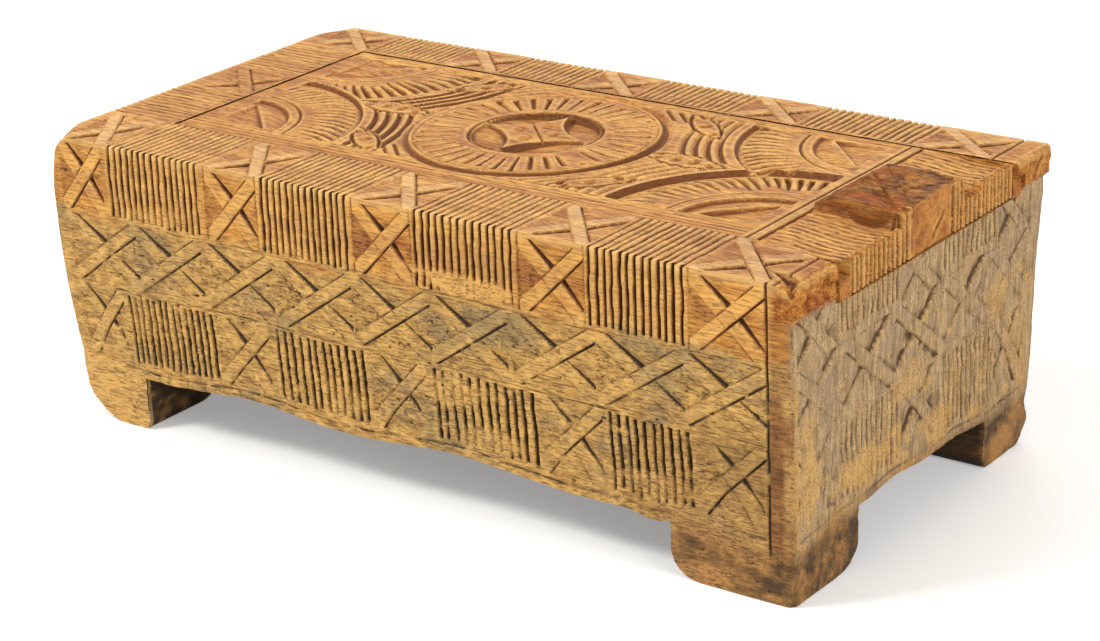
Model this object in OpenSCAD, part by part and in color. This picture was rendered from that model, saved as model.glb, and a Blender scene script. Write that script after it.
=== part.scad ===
// Chip-carved wooden box with a sliding lid and two hidden locking pins.
// Origin: centre of the footprint on the table. +X is the way the lid slides out,
// +Y runs from the long front face to the back, +Z is up. Millimetres.

/* [Block] */
// length of the hollowed block, left end to right end
block_length = 245; // [120:1:400]
// depth of the block at the top, front face to back face
block_depth = 128; // [60:1:220]
// height from the table to the tops of the rails
block_height = 83; // [50:1:140]
// how far the left end leans in between its top edge and its foot
left_lean = 7.5; // [0:0.5:15]
// how far the back face leans in between its top edge and its foot
back_lean = 7; // [0:0.5:15]
// how far the right end wall stands back under the rail ends
end_step = 3; // [0:0.5:5]
// height of the band of rail and lid ends above the step
end_band = 8; // [4:0.5:12]
// radius of the worn vertical corners at the left end
left_corner_radius = 4; // [1:0.5:20]
// radius of the worn vertical corners at the right end
right_corner_radius = 2; // [0.5:0.5:10]

/* [Feet] */
// height of the feet below the wall edges
foot_height = 18; // [6:0.5:30]
// length of the right feet along the box
right_foot_length = 36; // [15:1:60]
// length of the left feet along the box
left_foot_length = 29; // [15:1:60]
// depth of each foot across the box
foot_depth = 31; // [12:1:50]
// radius of the worn lower edges of the feet
foot_round = 9; // [1:0.5:14]
// rounding of the front right foot's outer bottom edges
foot_edge_round = 3; // [1:0.5:10]

/* [Hollow] */
// thickness of the front wall and width of the front rail
front_wall = 25; // [12:0.5:40]
// width of the back rail
back_wall = 19.5; // [12:0.5:40]
// width of the fixed strip at the left of the lid
left_strip = 25; // [10:0.5:40]
// thickness of the right end wall under the lid
right_wall = 24; // [10:0.5:40]
// thickness of the floor above the feet
floor_thickness = 8; // [4:0.5:20]

/* [Lid] */
// thickness of the lid board
lid_thickness = 10; // [6:0.5:20]
// how far the lid's right end stands back from the rail ends
lid_inset = 2.5; // [0:0.5:5]
// how far each tongue of the lid reaches under its rail
tongue_reach = 5; // [2:0.5:10]
// height of the tongues at the lid's lower edge
tongue_height = 5.4; // [3:0.1:8]
// sliding clearance between the lid and its channel
lid_gap = 0.3; // [0.1:0.05:0.8]
// clearance under the lid
lid_seat_gap = 0.05; // [0.02:0.01:0.3]
// height of the thumb block above the lid
thumb_height = 4.5; // [0:0.5:10]
// width of the thumb block across the lid
thumb_width = 31; // [10:1:60]
// length of the thumb block along the lid
thumb_length = 26; // [10:1:60]

/* [Locking pins] */
// diameter of the wooden locking pins
pin_diameter = 5; // [3:0.5:8]
// radial running clearance of a pin in its bore
pin_clearance = 0.06; // [0.02:0.01:0.1]
// travel of a pin between open and locked
pin_travel = 4; // [2:0.5:6]
// wood left between the blind front bore and the front face
front_skin = 7.5; // [3:0.5:15]
// length of the plug that closes the drilled hole at the back
plug_length = 5; // [3:0.5:10]
// distance of the pins from the right end of the block
pin_inset = 19.5; // [8:0.5:40]
// side clearance of the lid's notch round a pin
notch_gap = 1.4; // [0.3:0.1:2]
// interference of the plug that closes the drilled hole
plug_interference = 0.02; // [0:0.01:0.1]

/* [Carving] */
// centre-to-centre distance of the flutes
flute_pitch = 2.3; // [1.5:0.1:5]
// width of a flute at the surface
flute_width = 1.2; // [0.5:0.1:3]
// depth of a flute
flute_depth = 1.3; // [0.5:0.1:3]
// width of the scribed border lines
scribe_width = 0.8; // [0.3:0.1:2]
// depth of the scribed border lines
scribe_depth = 0.6; // [0.2:0.1:2]
// depth of the chip-cut fields between the crossed straps
chip_depth = 1.2; // [0.5:0.1:3]
// width of the crossed straps
strap_width = 4.5; // [2:0.5:10]
// height of the lattice band between the two square bands
lattice_band = 19.5; // [10:0.5:40]
// width of the crossed-strap squares along the block
cross_width = 20; // [12:0.5:30]
// width of the crossed-strap squares across the block
end_cross_width = 21; // [12:0.5:30]
// plain edge left round the carving
plain_edge = 3; // [1:0.5:8]
// plain strip at the right end of the long faces
corner_strip = 10.5; // [4:0.5:20]
// diameter of the dots beside the medallion
dot_diameter = 2; // [1:0.1:4]

/* [Hidden] */
eps = 0.02;
over = 5;

right_x = block_length / 2;
left_x = -right_x;
front_y = -block_depth / 2;
back_y = block_depth / 2;
top_z = block_height;
rail_front_y = front_y + front_wall;
rail_back_y = back_y - back_wall;
lid_left_x = left_x + left_strip;
lid_right_x = right_x - lid_inset;
lid_seat_z = top_z - lid_thickness;
tongue_top_z = lid_seat_z + tongue_height;
lid_mid_y = (rail_front_y + rail_back_y) / 2;
lid_width = rail_back_y - rail_front_y - 2 * lid_gap;
groove_front_y = rail_front_y - tongue_reach;
groove_back_y = rail_back_y + tongue_reach;
cavity_floor_z = foot_height + floor_thickness;
lean_foot_z = foot_height + 2;
left_angle = atan(left_lean / (block_height - lean_foot_z));
back_angle = atan(back_lean / (block_height - lean_foot_z));
end_x = right_x - end_step;
left_foot_x = left_x + left_lean;
back_foot_y = back_y - back_lean;

pin_x = right_x - pin_inset;
pin_z = (lid_seat_z + tongue_top_z) / 2;
bore_radius = pin_diameter / 2 + pin_clearance;
front_pin_length = front_wall - tongue_reach - front_skin - 2 * lid_gap;
back_pin_length = back_wall - tongue_reach - plug_length - 2 * lid_gap;
plug_inner_y = back_y - plug_length;

// the three carved bands, from the top down
square_band = (top_z - foot_height - plain_edge - lattice_band) / 2;
upper_z = top_z - square_band / 2;
lattice_z = top_z - square_band - lattice_band / 2;
lower_z = lattice_z - lattice_band / 2 - square_band / 2;
band_lines = [lattice_z + lattice_band / 2, lattice_z - lattice_band / 2, foot_height + plain_edge / 2];
lower_shift = 2;
corner_line_x = right_x - corner_strip;
strip_line_x = right_x - corner_strip + 2;

// five crossed squares with four fluted fields between them along the block,
// three squares with two fluted fields across it, as distances from the first edge
long_crosses = 5;
end_crosses = 3;
long_run = block_length - corner_strip - plain_edge;
end_run = block_depth - 2 * plain_edge;
long_flute_width = (long_run - long_crosses * cross_width) / (long_crosses - 1);
end_flute_width = (end_run - end_crosses * end_cross_width) / (end_crosses - 1);

// medallion and corner fans on the lid
field_left = lid_left_x + 6;
field_right = lid_right_x - thumb_length - 6;
field_front = rail_front_y + 8.5;
field_back = rail_back_y - 4.5;
field_depth = field_back - field_front;
field_mid_x = (field_left + field_right) / 2;
field_mid_y = (field_front + field_back) / 2;
medallion_radius = field_depth / 2 - 0.5;
inner_ring_radius = medallion_radius / 2;
ray_outer_radius = medallion_radius - 2.5;
ray_inner_radius = inner_ring_radius + 5;
ray_count = 44;
fan_radii = [0.355 * field_depth, 0.61 * field_depth];
feather_count = 11;
lens_radius = 30;

color_block = [0.60, 0.44, 0.24];
color_lid = [0.76, 0.53, 0.27];
color_pin = [0.55, 0.38, 0.20];
color_plug = [0.48, 0.35, 0.20];

// ---------- placing a cutter on a face: local z points out of the wood ----------

module on_front(x, z) {
    translate([x, front_y, z])
        rotate([90, 0, 0])
            children();
}

module on_back(x, z) {
    translate([0, back_y, top_z])
        rotate([-back_angle, 0, 0])
            translate([x, 0, z - top_z])
                rotate([90, 0, 180])
                    children();
}

module on_left(y, z) {
    translate([left_x, 0, top_z])
        rotate([0, -left_angle, 0])
            translate([0, y, z - top_z])
                rotate([90, 0, -90])
                    children();
}

module on_right(x, y, z) {
    translate([x, y, z])
        rotate([90, 0, 90])
            children();
}

module on_top(x, y, z) {
    translate([x, y, z])
        children();
}

// ---------- carved motifs ----------

function flute_count(width) = floor((width - 0.6) / flute_pitch);

function comb_profile(count, tooth) = concat(
    [[-count * flute_pitch / 2, 1]],
    [for (i = [0 : count - 1]) for (p = [[-tooth / 2, 0.2], [-tooth / 3, -flute_depth],
        [tooth / 3, -flute_depth], [tooth / 2, 0.2]])
        [(i + 0.5 - count / 2) * flute_pitch + p[0], p[1]]],
    [[count * flute_pitch / 2, 1]]
);

// a row of flutes, each running along local y for the given length
module flutes(width, run, tooth = flute_width) {
    translate([0, run / 2, 0])
        rotate([90, 0, 0])
            linear_extrude(run)
                polygon(comb_profile(flute_count(width), tooth));
}

function chip_triangle(half_w, half_h, border) = let (
    diagonal = sqrt(half_w * half_w + half_h * half_h),
    tip = strap_width / 2 * diagonal / half_w,
    base = half_w * (half_h - border - tip) / half_h
) [[0, tip], [base, half_h - border], [-base, half_h - border]];

// the four chip-cut fields that leave two crossed straps standing
module crossed_straps(width, height, border = 1) {
    for (side = [0, 1]) {
        rotate([0, 0, 180 * side])
            translate([0, 0, -chip_depth])
                linear_extrude(chip_depth + over)
                    polygon(chip_triangle(width / 2, height / 2, border));
        rotate([0, 0, 90 + 180 * side])
            translate([0, 0, -chip_depth])
                linear_extrude(chip_depth + over)
                    polygon(chip_triangle(height / 2, width / 2, border));
    }
}

// a scribed line of the given size, centred
module scribe(size_x, size_y) {
    translate([0, 0, over / 2 - scribe_depth])
        cube([size_x, size_y, over], center = true);
}

// one lattice cell: a diamond with a triangular chip above and below its corners
module lattice_cell(width, height) {
    for (side = [0, 1])
        rotate([0, 0, 180 * side])
            translate([0, 0, -chip_depth])
                linear_extrude(chip_depth + over)
                    polygon([[-width * 0.28, height * 0.44], [width * 0.28, height * 0.44], [0, height * 0.17]]);
}

// crossed squares and fluted fields in turn; stretch runs the flutes on over the edge of the face
module band_of_fields(crosses, cross_w, flute_w, height, stretch = 0, tooth = flute_width) {
    step = cross_w + flute_w;
    for (i = [0 : crosses - 1])
        translate([plain_edge + i * step + cross_w / 2, 0, 0])
            crossed_straps(cross_w - 1, height);
    for (i = [0 : crosses - 2])
        translate([plain_edge + i * step + cross_w + flute_w / 2, stretch / 2, 0])
            flutes(flute_w, height + abs(stretch), tooth);
}

module long_band(height, stretch = 0, tooth = flute_width) {
    band_of_fields(long_crosses, cross_width, long_flute_width, height, stretch, tooth);
}

module end_band_of_fields(height) {
    band_of_fields(end_crosses, end_cross_width, end_flute_width, height);
}

module lattice_row(length, height) {
    cells = round(length / (height * 1.25));
    for (i = [0 : cells - 1])
        translate([(i + 0.5 - cells / 2) * length / cells, 0, 0])
            lattice_cell(length / cells, height);
}

// ---------- the block ----------

// rounded foot corner, cut away below the radius
module foot_edge_x(x, direction, radius) {
    translate([x, 0, 0])
        scale([direction, 1, 1])
            difference() {
                translate([-over, front_y - over, -over])
                    cube([radius + over, block_depth + 2 * over, radius + over]);
                translate([radius, front_y - 2 * over, radius])
                    rotate([-90, 0, 0])
                        cylinder(h = block_depth + 4 * over, r = radius, $fn = 64);
            }
}

module foot_edge_y(y, direction, radius) {
    translate([0, y, 0])
        scale([1, direction, 1])
            difference() {
                translate([left_x - over, -over, -over])
                    cube([block_length + 2 * over, radius + over, radius + over]);
                translate([left_x - 2 * over, radius, radius])
                    rotate([0, 90, 0])
                        cylinder(h = block_length + 4 * over, r = radius, $fn = 64);
            }
}

module corner_cut(x, y, radius, dir_x, dir_y) {
    translate([x, y, 0])
        scale([dir_x, dir_y, 1])
            difference() {
                translate([-over, -over, -over])
                    cube([radius + over, radius + over, block_height + 2 * over]);
                translate([radius, radius, -2 * over])
                    cylinder(h = block_height + 4 * over, r = radius, $fn = 64);
            }
}

function wall_edge(from, to, count) = [for (i = [0 : count])
    [from + (to - from) * i / count, foot_height + 1.2 * sin(i * 97) + 0.8 * sin(i * 211)]];

module side_outline() {
    translate([0, back_y + over, 0])
        rotate([90, 0, 0])
            linear_extrude(block_depth + 2 * over)
                polygon(concat(
                    [[left_x, top_z], [left_foot_x, lean_foot_z], [left_foot_x, 0], [left_foot_x + left_foot_length, 0]],
                    wall_edge(left_foot_x + left_foot_length, end_x - right_foot_length, 12),
                    [[end_x - right_foot_length, 0], [end_x, 0], [end_x, top_z - end_band],
                        [right_x, top_z - end_band], [right_x, top_z]]
                ));
}

module end_outline() {
    translate([left_x - over, 0, 0])
        rotate([90, 0, 90])
            linear_extrude(block_length + 2 * over)
                polygon(concat(
                    [[front_y, top_z], [front_y, 0], [front_y + foot_depth, 0]],
                    wall_edge(front_y + foot_depth, back_foot_y - foot_depth, 7),
                    [[back_foot_y - foot_depth, 0], [back_foot_y, 0], [back_foot_y, lean_foot_z], [back_y, top_z]]
                ));
}

module block_outline() {
    difference() {
        intersection() {
            side_outline();
            end_outline();
        }
        corner_cut(left_x, front_y, left_corner_radius, 1, 1);
        corner_cut(left_x, back_y, left_corner_radius * 0.7, 1, -1);
        corner_cut(right_x, front_y, right_corner_radius, -1, 1);
        corner_cut(right_x, back_y, right_corner_radius, -1, -1);
        foot_edge_x(left_foot_x, 1, foot_round);
        foot_edge_x(left_foot_x + left_foot_length, -1, foot_round);
        foot_edge_x(end_x - right_foot_length, 1, foot_round);
        foot_edge_x(end_x, -1, foot_edge_round);
        foot_edge_y(front_y, 1, foot_edge_round);
        foot_edge_y(back_foot_y, -1, foot_round);
    }
}

module store_hollow() {
    translate([lid_left_x, rail_front_y, cavity_floor_z])
        cube([right_x - right_wall - lid_left_x, rail_back_y - rail_front_y, block_height]);
}

// the channel between the rails and the groove that each rail holds the lid with
module lid_channel() {
    translate([lid_left_x, rail_front_y, lid_seat_z])
        cube([block_length, rail_back_y - rail_front_y, block_height]);
    translate([lid_left_x, groove_front_y, lid_seat_z])
        cube([block_length, groove_back_y - groove_front_y, tongue_height + lid_gap]);
}

// one drill run: through the back wall, across the channel and into the front rail
module pin_bores() {
    translate([pin_x, groove_front_y + eps, pin_z])
        rotate([90, 0, 0])
            cylinder(h = front_pin_length + 2 * lid_gap + eps, r = bore_radius, $fn = 64);
    translate([pin_x, groove_back_y - eps, pin_z])
        rotate([-90, 0, 0])
            cylinder(h = back_wall + over, r = bore_radius, $fn = 64);
}

// the broken front rail end beside the lid
module chipped_corner() {
    translate([right_x - 6, rail_front_y - 8, tongue_top_z + lid_gap - 3])
        cube([over + 6, 8 + eps, block_height]);
    translate([right_x - 2, front_y + 9, top_z - 8])
        rotate([0, 35, 20])
            cube([9, 22, 30]);
}

module long_face_carving() {
    long_band(square_band - 2, over, flute_width * 0.9);
    translate([lower_shift, lower_z - upper_z, 0])
        long_band(square_band - 2);
    translate([plain_edge + long_run / 2, lattice_z - upper_z, 0])
        lattice_row(long_run - 2, lattice_band);
    for (z = band_lines)
        translate([plain_edge + long_run / 2, z - upper_z, 0])
            scribe(long_run, scribe_width);
    translate([corner_line_x - left_x, (top_z + foot_height) / 2 - upper_z, 0])
        scribe(scribe_width, top_z - foot_height);
}

module end_face_carving() {
    translate([0, upper_z - lower_z, 0])
        end_band_of_fields(square_band - 2);
    end_band_of_fields(square_band - 2);
    translate([block_depth / 2, lattice_z - lower_z, 0])
        lattice_row(end_run - 8, lattice_band);
}

module rail_carving(y, width, stretch) {
    on_top(left_x, y, top_z)
        long_band(width, stretch);
}

module left_strip_carving() {
    for (side = [-1, 1])
        on_top(left_x + left_strip / 2 - 1, side * (end_cross_width + end_flute_width) / 2, top_z)
            rotate([0, 0, 90])
                flutes(end_flute_width - 1, left_strip - 2 * plain_edge);
    on_top(left_x + plain_edge + cross_width / 2, 0, top_z)
        crossed_straps(cross_width - 2, end_cross_width);
    on_top(lid_left_x - plain_edge, 0, top_z)
        scribe(scribe_width, end_run);
}

module box_body() {
    color(color_block)
        difference() {
            block_outline();
            store_hollow();
            lid_channel();
            pin_bores();
            chipped_corner();
            on_front(left_x, upper_z)
                long_face_carving();
            on_back(left_x, upper_z)
                mirror([1, 0, 0])
                    long_face_carving();
            on_left(-front_y, lower_z)
                end_face_carving();
            on_right(end_x, front_y, lower_z)
                end_face_carving();
            rail_carving(front_y + front_wall / 2, front_wall - 2, -over);
            rail_carving(back_y - back_wall / 2, back_wall - 2, over);
            left_strip_carving();
            on_top(strip_line_x, 0, top_z)
                scribe(scribe_width, block_depth - 4);
        }
}

// ---------- the lid ----------

module lid_blank() {
    translate([lid_left_x + lid_gap, rail_front_y + lid_gap, lid_seat_z + lid_seat_gap])
        cube([lid_right_x - lid_left_x - lid_gap, lid_width, lid_thickness - lid_seat_gap]);
    translate([lid_left_x + lid_gap, groove_front_y + lid_gap, lid_seat_z + lid_seat_gap])
        cube([lid_right_x - lid_left_x - lid_gap, lid_width + 2 * tongue_reach, tongue_height - lid_seat_gap]);
    translate([0, lid_mid_y + thumb_width / 2, 0])
        rotate([90, 0, 0])
            linear_extrude(thumb_width)
                polygon([[lid_right_x - thumb_length, top_z - 1], [lid_right_x - thumb_length, top_z + thumb_height / 2],
                    [lid_right_x - thumb_length + 4, top_z + thumb_height], [lid_right_x, top_z + thumb_height],
                    [lid_right_x, top_z - 1]]);
}

// the notch in each tongue that a pin drops into
module pin_notch(y) {
    translate([pin_x, y, pin_z])
        cube([pin_diameter + 2 * notch_gap, 2 * (pin_travel + 1), tongue_height + 2], center = true);
}

module ring_groove(radius, width, depth) {
    translate([0, 0, -depth])
        difference() {
            cylinder(h = depth + over, r = radius + width / 2, $fn = 128);
            translate([0, 0, -1])
                cylinder(h = depth + over + 2, r = radius - width / 2, $fn = 128);
        }
}

module petal(radius) {
    translate([0, 0, -chip_depth])
        intersection() {
            translate([radius * 0.35, -radius * 0.62, 0])
                cylinder(h = chip_depth + over, r = radius * 0.8, $fn = 96);
            translate([radius * 0.35, radius * 0.62, 0])
                cylinder(h = chip_depth + over, r = radius * 0.8, $fn = 96);
        }
}

module medallion() {
    ring_groove(medallion_radius, 1.4, chip_depth);
    ring_groove(inner_ring_radius + 2.4, 1.2, chip_depth);
    for (i = [0 : ray_count - 1])
        rotate([0, 0, 360 * i / ray_count])
            translate([(ray_inner_radius + ray_outer_radius) / 2, 0, over / 2 - chip_depth])
                cube([ray_outer_radius - ray_inner_radius, 1.1, over], center = true);
    for (i = [0 : 3])
        rotate([0, 0, 45 + 90 * i])
            translate([inner_ring_radius * 0.14, 0, 0])
                petal(inner_ring_radius);
    ring_groove(inner_ring_radius - 1, 1.8, chip_depth);
}

// a quarter fan in one corner of the field: two arcs with feather cuts between them
module corner_fan(x, y, dir_x, dir_y) {
    translate([x, y, top_z])
        scale([dir_x, dir_y, 1]) {
            intersection() {
                union() {
                    for (r = fan_radii)
                        ring_groove(r, 1.6, chip_depth);
                }
                translate([0, 0, -over])
                    cube([fan_radii[1] + 2, abs(field_back - field_front) / 2, 3 * over]);
            }
            for (i = [0 : feather_count - 1])
                rotate([0, 0, 3 + 52 * i / feather_count])
                    translate([(fan_radii[0] + fan_radii[1]) / 2 + 1, 0, over / 2 - chip_depth])
                        cube([11, 1.1, over], center = true);
        }
}

// a row of drilled dots inside two arcs, beside the medallion
module dotted_lens(dots) {
    for (i = [0 : dots - 1])
        translate([(i + 0.5 - dots / 2) * 2.6 * dot_diameter, 0, -chip_depth])
            cylinder(h = chip_depth + over, r = dot_diameter / 2, $fn = 32);
    for (side = [0, 1])
        rotate([0, 0, 180 * side])
            intersection() {
                translate([0, -lens_radius * 0.8, 0])
                    ring_groove(lens_radius, scribe_width, chip_depth);
                translate([-lens_radius * 0.45, 0, -over])
                    cube([lens_radius * 0.9, lens_radius, 3 * over]);
            }
}

module lid_carving() {
    translate([field_mid_x - 2, field_mid_y, top_z])
        medallion();
    for (side = [-1, 1])
        translate([field_mid_x - 2 + side * (medallion_radius + 14.5), field_mid_y, top_z])
            dotted_lens(4);
    corner_fan(field_left, field_front, 1, 1);
    corner_fan(field_left, field_back, 1, -1);
    corner_fan(field_right, field_front, -1, 1);
    corner_fan(field_right, field_back, -1, -1);
    for (y = [field_front - 2, field_front - 4.5])
        on_top((lid_left_x + field_right) / 2 + 2, y, top_z)
            scribe(field_right - lid_left_x - 4, scribe_width);
    for (x = [lid_right_x - thumb_length - 3.5, lid_right_x - thumb_length])
        on_top(x, lid_mid_y, top_z)
            scribe(scribe_width, lid_width + 2);
}

module lid_end_carving() {
    side_width = (lid_width - thumb_width) / 2 - 1;
    for (side = [-1, 1])
        on_right(lid_right_x, lid_mid_y + side * (thumb_width + side_width) / 2, lid_seat_z + lid_thickness / 2)
            flutes(side_width, 2 * lid_thickness);
    for (side = [-1, 1])
        on_right(lid_right_x, lid_mid_y + side * (thumb_width / 2 - 3), lid_seat_z + lid_thickness / 2)
            flutes(3 * flute_pitch + 1, 3 * lid_thickness);
    on_top(lid_right_x - thumb_length / 2, lid_mid_y, top_z + thumb_height)
        crossed_straps(20, 20);
}

module lid() {
    color(color_lid)
        difference() {
            lid_blank();
            pin_notch(groove_front_y + lid_gap);
            pin_notch(groove_back_y - lid_gap);
            lid_carving();
            lid_end_carving();
        }
}

// ---------- the hidden lock ----------

module front_pin() {
    color(color_pin)
        translate([pin_x, groove_front_y - lid_gap, pin_z])
            rotate([90, 0, 0])
                cylinder(h = front_pin_length, r = pin_diameter / 2, $fn = 64);
}

module back_pin() {
    color(color_pin)
        translate([pin_x, groove_back_y + lid_gap, pin_z])
            rotate([-90, 0, 0])
                cylinder(h = back_pin_length, r = pin_diameter / 2, $fn = 64);
}

module hole_plug() {
    color(color_plug)
        intersection() {
            translate([pin_x, plug_inner_y, pin_z])
                rotate([-90, 0, 0])
                    cylinder(h = back_wall, r = bore_radius + plug_interference, $fn = 64);
            end_outline();
        }
}

box_body();
lid();
front_pin();
back_pin();
hole_plug();
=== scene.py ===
import math
import bpy
import numpy as np
from mathutils import Matrix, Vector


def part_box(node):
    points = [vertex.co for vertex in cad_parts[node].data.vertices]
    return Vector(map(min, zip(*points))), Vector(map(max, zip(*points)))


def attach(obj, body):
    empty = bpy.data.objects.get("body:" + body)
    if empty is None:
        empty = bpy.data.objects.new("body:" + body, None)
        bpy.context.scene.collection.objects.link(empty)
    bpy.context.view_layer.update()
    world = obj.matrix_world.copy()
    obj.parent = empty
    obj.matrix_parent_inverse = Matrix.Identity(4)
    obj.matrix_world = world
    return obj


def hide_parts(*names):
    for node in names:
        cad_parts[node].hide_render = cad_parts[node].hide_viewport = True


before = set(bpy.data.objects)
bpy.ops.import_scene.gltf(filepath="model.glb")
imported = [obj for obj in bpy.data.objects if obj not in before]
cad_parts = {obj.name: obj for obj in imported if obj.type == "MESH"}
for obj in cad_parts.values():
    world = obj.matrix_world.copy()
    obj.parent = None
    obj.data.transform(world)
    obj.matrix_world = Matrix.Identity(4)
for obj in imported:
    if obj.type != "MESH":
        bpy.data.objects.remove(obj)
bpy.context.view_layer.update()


# ---------------------------------------------------------------- front side
# The box is carved and hollowed from one block of coarse hardwood, grain along X.
# This is its long front side: chip-carved squares of crossed straps and combed
# flutes in two bands, with a lattice band between them, cut with a knife and gouge.

# everything is drawn in millimetres; X, Y and Z number the axes
MM = 0.001
X, Y, Z = range(3)
# the outer faces of the block, which is drawn straight-sided first
block_low, block_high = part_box("box_body")
LEFT = block_low[0] / MM
RIGHT = block_high[0] / MM
FRONT = block_low[1] / MM
BACK = block_high[1] / MM
TOP = block_high[2] / MM
# heights of the walls' lower edge, of the seat the lid runs on and of its grooves' roof
WALL_FOOT = 18.0
SEAT = 73.0
GROOVE_ROOF = 78.7
# the inner edges of the two rails and of the fixed strip at the left
RAIL_IN_FRONT = -39.0
RAIL_IN_BACK = 44.5
STRIP_IN = -97.5


def smooth(start, end, value):
    """0 before start, 1 after end, eased between."""
    t = np.clip((value - start) / (end - start), 0.0, 1.0)
    return t * t * (3.0 - 2.0 * t)


def chance(i, j, seed):
    """One fixed number from 0 to 1 for each pair of whole numbers; big odd factors mix the bits."""
    n = (np.asarray(i, dtype=np.int64) * 374761393 + np.asarray(j, dtype=np.int64) * 668265263
         + int(seed) * 974634757) & 0xFFFFFFFF
    n = ((n ^ (n >> 13)) * 1274126177) & 0xFFFFFFFF
    n = ((n ^ (n >> 15)) * 2246822519) & 0xFFFFFFFF
    return ((n ^ (n >> 16)) & 0xFFFFFF) / float(0xFFFFFF)


def lumps(u, v, size_u, size_v, seed):
    """Rounded lumps from -1 to 1, of the given sizes."""
    total = 0.0
    weight = 0.0
    for step in range(3):
        a = u * 2.0 ** step / size_u
        b = v * 2.0 ** step / size_v
        i = np.floor(a)
        j = np.floor(b)
        p = a - i
        q = b - j
        p = p * p * (3 - 2 * p)
        q = q * q * (3 - 2 * q)
        here = seed + 17 * step
        low = chance(i, j, here) * (1 - p) + chance(i + 1, j, here) * p
        high = chance(i, j + 1, here) * (1 - p) + chance(i + 1, j + 1, here) * p
        total = total + (low * (1 - q) + high * q) * 0.55 ** step
        weight += 0.55 ** step
    return 2.0 * total / weight - 1.0


def furrow(distance, width, depth):
    """A steep-sided gouge cut or scored line round distance 0."""
    t = np.clip(np.abs(distance) / (width / 2), 0.0, 1.0)
    return depth * (1.0 - t ** 2.6)


def deepest(cuts):
    """The deepest of several cuts at each point."""
    return np.maximum.reduce(list(cuts))


def comb(u, v, u_from, u_to, v_low, v_high, count, width, depth, drift, seed):
    """A field of hand-cut flutes side by side along u, each running along v."""
    pitch = (u_to - u_from) / count
    shifted = (u - u_from - drift * (v_high - v)) / pitch
    k = np.clip(np.floor(shifted), 0, count - 1)
    centre = k + 0.5 + 0.16 * (chance(k, 0, seed) - 0.5)
    wander = 0.09 * np.sin(v * 0.45 + 7 * chance(k, 1, seed))
    across = (shifted - centre) * pitch + wander
    own_width = width * (0.8 + 0.4 * chance(k, 2, seed))
    own_depth = depth * (0.75 + 0.4 * chance(k, 3, seed))
    end_low = v_low + 0.9 * (chance(k, 4, seed) - 0.3)
    end_high = v_high - 0.8 * (chance(k, 5, seed) - 0.2)
    run = smooth(end_low - 0.35, end_low + 0.45, v)
    run = run * (1 - smooth(end_high - 0.35, end_high + 0.25, v))
    inside = (shifted > -0.05) & (shifted < count + 0.05)
    return inside * run * furrow(across, own_width, own_depth)


def combs_cut(u, v, combs, v_low, v_high, width, depth, drift, seed):
    """A row of combed fields along u, from (first edge, last edge, number of flutes)."""
    return deepest(comb(u, v, a, b, v_low, v_high, count, width, depth, drift, seed + k)
                   for k, (a, b, count) in enumerate(combs))


def across_straps(u, v, u_mid, v_mid, width, height):
    """How far each point lies across the falling and the rising diagonal of a square."""
    du = u - u_mid
    dv = v - v_mid
    length = math.hypot(width, height)
    return du, dv, (du * height + dv * width) / length, (du * height - dv * width) / length


def crossed(u, v, u_mid, v_mid, width, height, strap=4.0, depth=0.8, slit=2.0, seed=1, late=0.0):
    """Two crossed straps between four chip-cut fields, with a tapered slit down the falling one."""
    du, dv, fall, rise = across_straps(u, v, u_mid, v_mid, width, height)
    length = math.hypot(width, height)
    h = strap / 2
    box = smooth(0, 0.4, width / 2 - np.abs(du)) * smooth(0, 0.4, height / 2 - np.abs(dv))
    rough = 0.85 + 0.25 * lumps(u, v, 3.0, 3.0, seed)
    past = np.abs(rise) - h
    beyond = fall - h
    t = np.clip(past / (length / 2 - h), 0, 1)
    early = (1 - t) ** 0.8
    fat = np.where(rise < 0, early, early * (1 - late) + late * t ** 0.7 * smooth(1.0, 0.88, t))
    side = smooth(-0.1, 0.15, beyond) * smooth(-0.1, 0.2, past)
    spindle = np.clip(1 - np.maximum(beyond, 0) / (0.2 + 1.9 * fat), 0, 1) ** 0.9
    cut = side * slit * (0.3 + 0.7 * fat) * spindle
    field = side * depth * np.clip(1 - beyond / 7.0, 0, 1) ** 1.2 * (0.35 + 0.65 * fat) * rough
    cut = np.maximum(cut, field)
    left = smooth(-0.1, 0.3, -rise - h) * smooth(-0.1, 0.3, -fall - h)
    cut = np.maximum(cut, 0.6 * depth * left * np.clip(1.1 + (rise + h) / 9.0, 0, 1) * rough)
    below = smooth(-0.1, 0.15, rise - h) * smooth(-0.1, 0.2, -fall - h)
    cut = np.maximum(cut, 0.6 * depth * below * np.clip(1 - (rise - h) / 5.0, 0, 1) * rough)
    lines = deepest((furrow(rise - h, 0.8, 1.0), furrow(-rise - h, 0.55, 0.6),
                     furrow(-fall - h, 0.5, 0.45), 0.6 * furrow(beyond, 0.6, 0.5)))
    return box * np.maximum(cut, lines * (0.8 + 0.35 * lumps(u, v, 7.0, 7.0, seed + 5)))


def squares_cut(u, v, squares, v_mid, height, seed, way=1, **form):
    """A row of crossed squares along u, from (first edge, last edge); way -1 turns them round."""
    return deepest(crossed(way * u, v, way * (a + b) / 2, v_mid, b - a, height, seed=seed + k, **form)
                   for k, (a, b) in enumerate(squares))


def lattice_cut(u, v, mids, v_mid, width, height, half, seed, **form):
    """Crossed squares that run into each other along u, each kept to its own half width."""
    return deepest(crossed(u, v, mid, v_mid, width, height, seed=seed + k, **form) * (np.abs(u - mid) < half)
                   for k, mid in enumerate(mids))


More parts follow.
